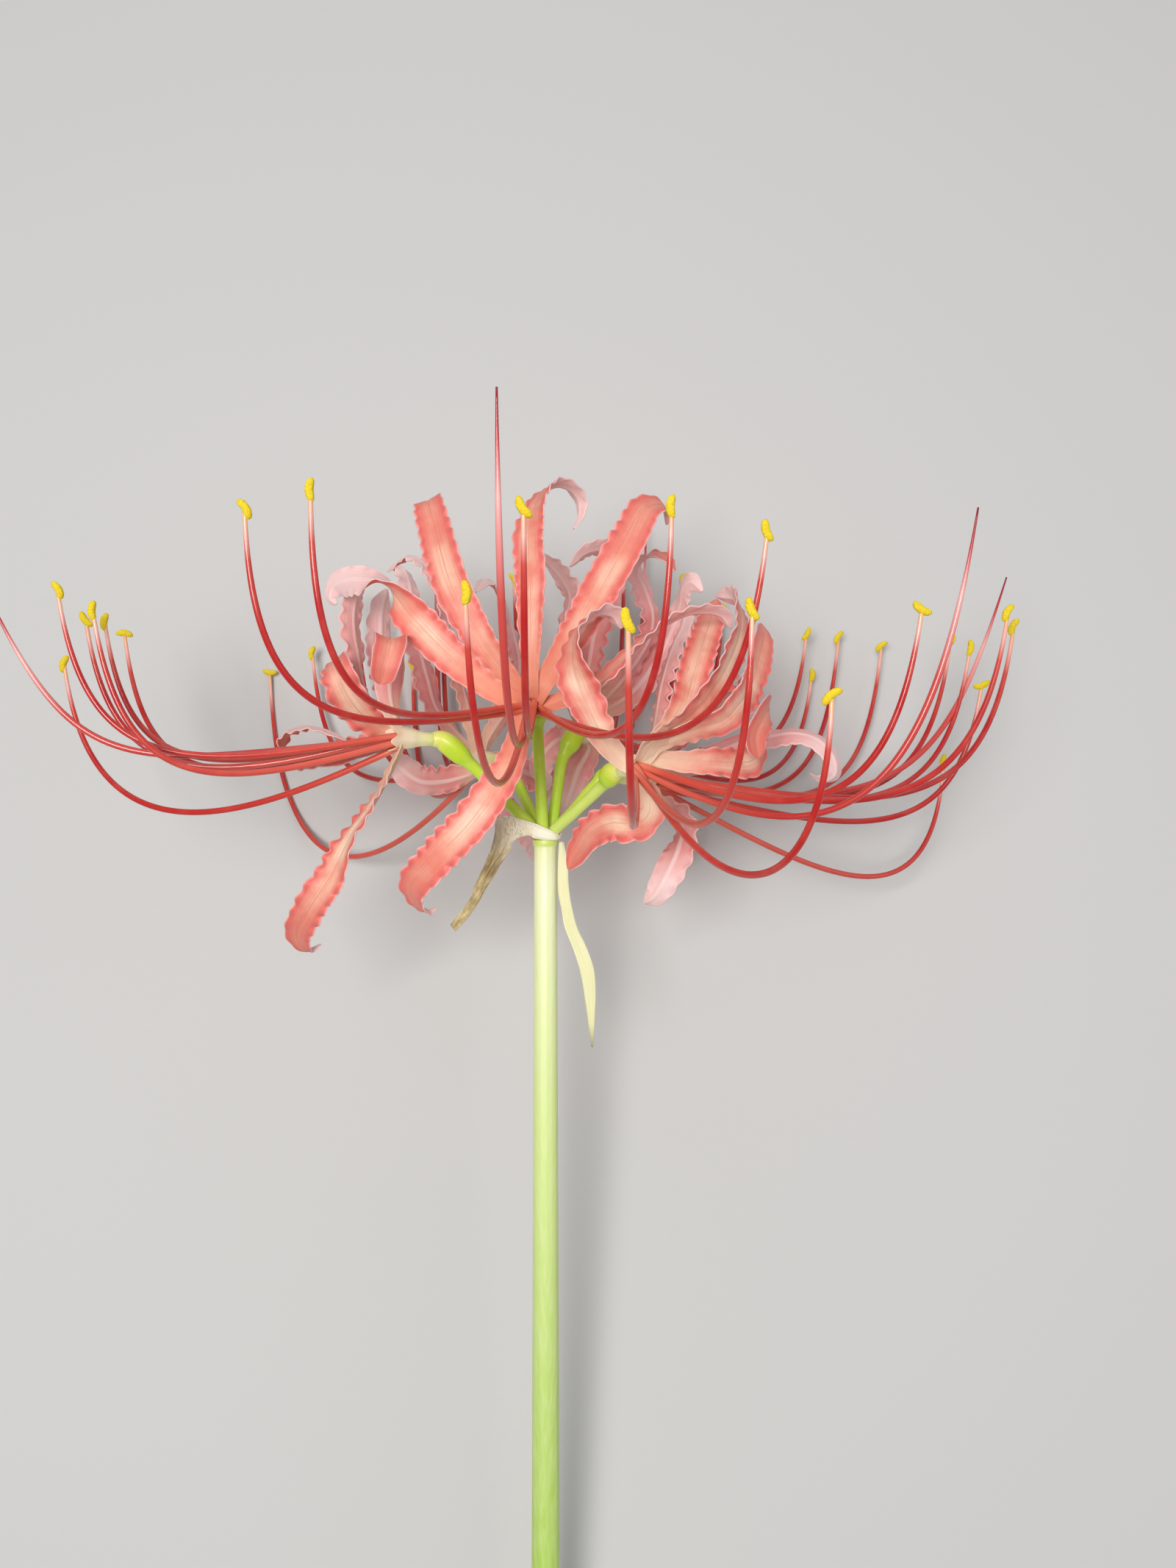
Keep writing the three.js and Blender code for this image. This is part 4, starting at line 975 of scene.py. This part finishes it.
def tepal_material():
    """Coral inside with a painted cream highlight down the middle and a dark midrib line, pale pink
    outside, green at the tube.
    """
    look = Shader("tepal", Roughness=0.42, Specular_IOR_Level=0.4, Subsurface_Weight=0.15,
        Subsurface_Scale=0.001)
    along, across, inner, tone, cream = look.values(*Body.VALUES)
    size = look.math("ABSOLUTE", across)
    rows = look.vector(look.times(across, 11), look.times(along, 2), look.times(tone, 40))
    veins = look.noise(1.8, 3, rows)
    patches = look.noise(160, 4)

    # At the very edge the inside turns pale: a painted highlight along the crimped margins.
    inside = look.ramp(size, (0, 0.82, 0.24, 0.17), (0.3, 0.81, 0.21, 0.155), (0.62, 0.8, 0.18, 0.145),
        (0.86, 0.78, 0.165, 0.14), (0.95, 0.84, 0.27, 0.24), (1, 0.93, 0.52, 0.49))
    # Painted highlight: cream down the middle of the inner face, strongest part way along the blade and on
    # florets with paler claws.
    painted_highlight = look.times(look.ramp(size, (0, 1), (0.35, 0.85), (0.75, 0)),
        look.ramp(along, (0.1, 0.3), (0.24, 0.7), (0.5, 0.75), (0.75, 0.4), (0.92, 0.1)))
    painted_highlight = look.times(painted_highlight, look.ramp(patches, (0.36, 0.2), (0.62, 1)))
    painted_highlight = look.times(painted_highlight, look.scaled(cream, 0.55, 1))
    inside = look.mix(painted_highlight, inside, (0.96, 0.67, 0.49))
    # At the very edge the outside turns pale too: a painted highlight along the margins.
    outside = look.ramp(size, (0, 0.93, 0.62, 0.59), (0.12, 0.91, 0.54, 0.51), (0.2, 0.8, 0.28, 0.27),
        (0.6, 0.83, 0.33, 0.32), (0.88, 0.8, 0.24, 0.23), (1, 0.92, 0.52, 0.5))
    outside = look.tint(outside, (0.94, 0.66, 0.64), patches, (0.42, 0), (0.66, 0.45))
    outside = look.tint(outside, (0.95, 0.72, 0.7), along, (0.55, 0), (0.85, 0.75))
    colour = look.mix(inner, outside, inside)

    vein_share = look.times(look.ramp(veins, (0.46, 0), (0.62, 0.24)), look.scaled(inner, 0.7, 0.3))
    colour = look.mix(vein_share, colour, (0.66, 0.09, 0.07))
    rib = look.times(look.ramp(size, (0, 0.5), (0.015, 0.4), (0.045, 0)), look.scaled(inner, 0.8, 0.1))
    rib = look.times(rib, look.ramp(patches, (0.4, 0.25), (0.6, 1)))
    colour = look.mix(rib, colour, (0.5, 0.08, 0.05))

    claw = look.ramp(look.scaled(along, 0.8, 0.1), (0, 1), (0.18, 0.85), (0.36, 0))
    red_claw = look.mix(inner, (0.84, 0.4, 0.26), (0.78, 0.2, 0.11))
    colour = look.mix(claw, colour, look.mix(cream, red_claw, (0.93, 0.78, 0.56)))
    along_tube = look.scaled(along, 4, 0.5)
    base = look.ramp(along_tube, (0.02, 1), (0.46, 0.75), (0.72, 0))
    tube = look.ramp(along_tube, (0.02, 0.72, 0.8, 0.24), (0.2, 0.88, 0.87, 0.46),
        (0.45, 0.92, 0.84, 0.56))
    colour = look.mix(look.times(base, look.scaled(inner, -0.7, 1)), colour, tube)
    shade = look.scaled(tone, 0.14, 0.9)
    colour = look.mix(1, colour, look.vector(shade, shade, shade), "MULTIPLY")
    folds = look.vector(look.times(across, 12), look.times(along, 9), tone)
    wrinkles = look.noise(1.4, 4, folds)
    look.bump(look.plus(veins, look.times(wrinkles, 0.5)), 0.35, 0.00025)
    return look.paint(colour)


def filament_material():
    """Glossy deep red to salmon, with a painted highlight just below the anther. The style has a painted
    highlight near its top and ends dark.
    """
    look = Shader("filament", Roughness=0.22, Specular_IOR_Level=0.45, Coat_Weight=0.15,
        Coat_Roughness=0.1, Subsurface_Weight=0.05, Subsurface_Scale=0.0008)
    along, is_style, tone = look.values("along", "across", "tone")
    # The pale pink-white stop just below the anther is a painted highlight.
    colour = look.ramp(along, (0, 0.8, 0.26, 0.16), (0.08, 0.62, 0.08, 0.05), (0.4, 0.5, 0.025, 0.02),
        (0.8, 0.46, 0.014, 0.014), (0.9, 0.56, 0.05, 0.035),
        (0.95, 0.85, 0.42, 0.36), (1, 0.88, 0.5, 0.2))
    salmon = look.times(look.ramp(tone, (0.5, 0), (1, 0.55)),
        look.ramp(along, (0.05, 1), (0.6, 0.5), (0.8, 0)))
    colour = look.mix(salmon, colour, (0.82, 0.2, 0.14))
    colour = look.tint(colour, (0.76, 0.16, 0.11), look.noise(260, 3), (0.45, 0), (0.75, 0.2))
    # The pale stop near the style's top is a painted highlight.
    style = look.ramp(along, (0, 0.7, 0.14, 0.09), (0.3, 0.5, 0.03, 0.024), (0.7, 0.6, 0.07, 0.06),
        (0.85, 0.86, 0.4, 0.38), (0.93, 0.5, 0.04, 0.05), (1, 0.24, 0.01, 0.02))
    return look.paint(look.mix(is_style, colour, style))


def anther_material():
    """Golden pollen, with painted shade darkening it towards the sides."""
    look = Shader("anther", Roughness=0.8, Specular_IOR_Level=0.2)
    grain = look.noise(4200, 3)
    from_middle = look.math("ABSOLUTE", *look.values("across"))
    colour = look.ramp(grain, (0.3, 0.75, 0.5, 0.015), (0.48, 0.92, 0.71, 0.02), (0.7, 0.98, 0.86, 0.09))
    # Painted shade: olive-brown towards the sides of the sacs, where they turn away from the light.
    colour = look.tint(colour, (0.6, 0.42, 0.02), from_middle, (0.6, 0), (1, 0.5))
    look.bump(grain, 0.5, 0.00015)
    return look.paint(colour)


def stalk_material():
    """Waxy green, pale yellow-green towards the top, with fine ridges and a pale cut end."""
    look = Shader("stalk", Roughness=0.38, Specular_IOR_Level=0.45, Subsurface_Weight=0.1,
        Subsurface_Scale=0.002)
    along, is_cut = look.values("along", "across")
    colour = look.ramp(along, (0, 0.24, 0.45, 0.04), (0.45, 0.4, 0.6, 0.1), (0.8, 0.66, 0.78, 0.3),
        (0.9, 0.78, 0.84, 0.45), (0.975, 0.84, 0.87, 0.56),
        (0.992, 0.8, 0.84, 0.46), (0.995, 0.6, 0.74, 0.12), (1, 0.62, 0.76, 0.14))
    streaks = look.noise(1500, 4, look.drawn_out(0.03))
    colour = look.tint(colour, (0.76, 0.82, 0.45), streaks, (0.4, 0), (0.7, 0.3))
    bloom = look.noise(120, 4)
    colour = look.tint(colour, (0.6, 0.7, 0.36), bloom, (0.5, 0), (0.8, 0.15))
    pith = look.ramp(look.noise(1100, 2), (0.4, 0.62, 0.68, 0.36), (0.62, 0.36, 0.5, 0.14))
    look.bump(streaks, 0.4, 0.0002)
    return look.paint(look.mix(is_cut, colour, pith), look.ramp(bloom, (0.3, 0.32), (0.8, 0.5)))


def pedicel_material():
    """Fresh yellow-green, brighter on the ovary, which fades to cream at the tube."""
    look = Shader("pedicel", Roughness=0.32, Specular_IOR_Level=0.5, Subsurface_Weight=0.15,
        Subsurface_Scale=0.0015)
    along, along_ovary, in_ovary, tone = look.values("along", "across", "inner", "tone")
    stem = look.ramp(along, (0, 0.6, 0.74, 0.13), (0.25, 0.5, 0.72, 0.055), (1, 0.54, 0.78, 0.045))
    stem = look.tint(stem, (0.72, 0.82, 0.3), tone, (0.4, 0), (0.9, 0.6))
    bulb = look.ramp(along_ovary, (0, 0.48, 0.72, 0.05), (0.3, 0.55, 0.79, 0.035),
        (0.55, 0.58, 0.8, 0.03), (0.8, 0.78, 0.86, 0.13), (1, 0.84, 0.86, 0.26))
    freckles = look.noise(500, 4)
    colour = look.tint(look.mix(in_ovary, stem, bulb), (0.72, 0.84, 0.2), freckles, (0.45, 0), (0.75, 0.3))
    look.bump(freckles, 0.2, 0.0002)
    return look.paint(colour)


def dry_bract_material():
    """Cream collar, hatched with fine dark marks up to its fold, and a dry brown hanging strip."""
    look = Shader("dry_bract", Roughness=0.75, Specular_IOR_Level=0.25)
    along, across = look.values("along", "across")
    patches = look.noise(380, 5)
    lines = look.noise(1.3, 4, look.vector(look.times(across, 3), look.times(along, 9)))
    lines = look.plus(look.times(lines, 0.55), look.times(patches, 0.45))
    brown = look.ramp(lines, (0.38, 0.26, 0.18, 0.08), (0.47, 0.38, 0.29, 0.14),
        (0.55, 0.54, 0.42, 0.21), (0.64, 0.7, 0.58, 0.33))
    cream = look.ramp(patches, (0.35, 0.88, 0.81, 0.57), (0.6, 0.96, 0.92, 0.74))
    folded = look.scaled(patches, 0.12, look.plus(along, -0.06))
    colour = look.tint(brown, cream, folded, (0.38, 1), (0.66, 0))
    hatch = look.ramp(look.noise(3200, 2, look.drawn_out(0.5)), (0.56, 0), (0.62, 0.42))
    hatch = look.times(hatch, look.ramp(folded, (0.2, 0), (0.36, 1), (0.5, 0.5)))
    look.bump(look.plus(lines, patches), 0.6, 0.0004)
    return look.paint(look.mix(hatch, colour, (0.2, 0.15, 0.08)))


def pale_bract_material():
    """Cream-yellow skin with faint long veins and a dry grey tip."""
    look = Shader("pale_bract", Roughness=0.6, Specular_IOR_Level=0.3, Subsurface_Weight=0.1,
        Subsurface_Scale=0.001)
    along, across = look.values("along", "across")
    lines = look.noise(1.2, 3, look.vector(look.times(across, 9), look.times(along, 2.5)))
    colour = look.ramp(lines, (0.35, 0.76, 0.73, 0.34), (0.55, 0.85, 0.82, 0.5), (0.7, 0.9, 0.88, 0.66))
    colour = look.tint(colour, (0.85, 0.84, 0.66), along, (0, 0.5), (0.2, 0))
    colour = look.tint(colour, (0.3, 0.27, 0.16), along, (0.9, 0), (1, 0.8))
    look.bump(lines, 0.5, 0.0003)
    return look.paint(colour)


# Camera
camera_data = bpy.data.cameras.new("camera")
camera_data.lens = SENSOR * FOCAL_PIXELS / PHOTO_HEIGHT
camera_data.sensor_width = SENSOR
camera_data.clip_start = 0.01
camera_data.clip_end = 20
camera = placed("camera", camera_data)
camera.rotation_euler = (LAID_TILT, 0, 0)
camera.location = to_row(CAMERA_AT)
bpy.context.scene.camera = camera

# The plant
PLANT_SEED = 7
TEPAL = tepal_material()
FILAMENT = filament_material()
ANTHER = anther_material()

for number, floret in enumerate(FLORETS, start=1):
    rng = np.random.default_rng(number)
    perianth = Body()
    floret_tube(perianth, floret)
    for each in floret.tepals:
        blade(perianth, floret, each, rng)
    perianth.piece(f"perianth_{number}", TEPAL, "tepal", f"floret_{number}_tepals")
    lines, anthers = stamen_bodies(floret, rng)
    lines.piece(f"filaments_{number}", FILAMENT, "filament", f"floret_{number}_stamens")
    anthers.piece(f"anthers_{number}", ANTHER, "anther", f"floret_{number}_stamens")

rng = np.random.default_rng(PLANT_SEED)
stalk_body(rng).piece("scape", stalk_material(), "stalk", "stalk")
pedicels_body(rng).piece("pedicels", pedicel_material(), "stalk", "stalk")
bract_body(DRY_SHEETS, rng).piece("papery_bract_dry", dry_bract_material(), "dry_bract", "bract_dry")
bract_body(PALE_SHEETS, rng).piece("papery_bract_pale", pale_bract_material(), "pale_bract", "bract_pale")

# Floor and studio light
FLOOR_HALF = 4
FLOOR_COLOUR = (0.56, 0.553, 0.545, 1)
SKY_COLOUR = (0.9, 0.92, 0.95, 1)
SKY_STRENGTH = 0.24
FLOWER_HEAD = (0, 20, 10)


def area_light(name, at, size, power, colour):
    """Soft square light at a place in metres, aimed at the flower head."""
    data = bpy.data.lights.new(name, "AREA")
    data.size = size
    data.energy = power
    data.color = colour
    light = placed(name, data)
    light.location = at
    aim = Vector(to_row(FLOWER_HEAD)) - Vector(at)
    light.rotation_euler = aim.to_track_quat("-Z", "Y").to_euler()


corners = [(-FLOOR_HALF, -FLOOR_HALF, 0), (FLOOR_HALF, -FLOOR_HALF, 0), (FLOOR_HALF, FLOOR_HALF, 0),
           (-FLOOR_HALF, FLOOR_HALF, 0)]
floor_mesh = bpy.data.meshes.new("floor")
floor_mesh.from_pydata(corners, [], [(0, 1, 2, 3)])
floor_mesh.materials.append(Shader("floor", Roughness=0.8).paint(FLOOR_COLOUR))
floor = placed("floor", floor_mesh)

area_light("key", (-0.16, 0.02, 0.8), 0.3, 5.6, (1, 0.985, 0.96))
area_light("fill", (0.55, 0.1, 0.55), 0.6, 1.1, (0.97, 0.98, 1))
area_light("back", (0.05, 0.9, 0.5), 0.6, 1.2, (1, 1, 1))

world = bpy.data.worlds.new("studio")
world.use_nodes = True
background = world.node_tree.nodes["Background"]
background.inputs["Color"].default_value = SKY_COLOUR
background.inputs["Strength"].default_value = SKY_STRENGTH
bpy.context.scene.world = world
bpy.context.scene.view_settings.view_transform = "Standard"
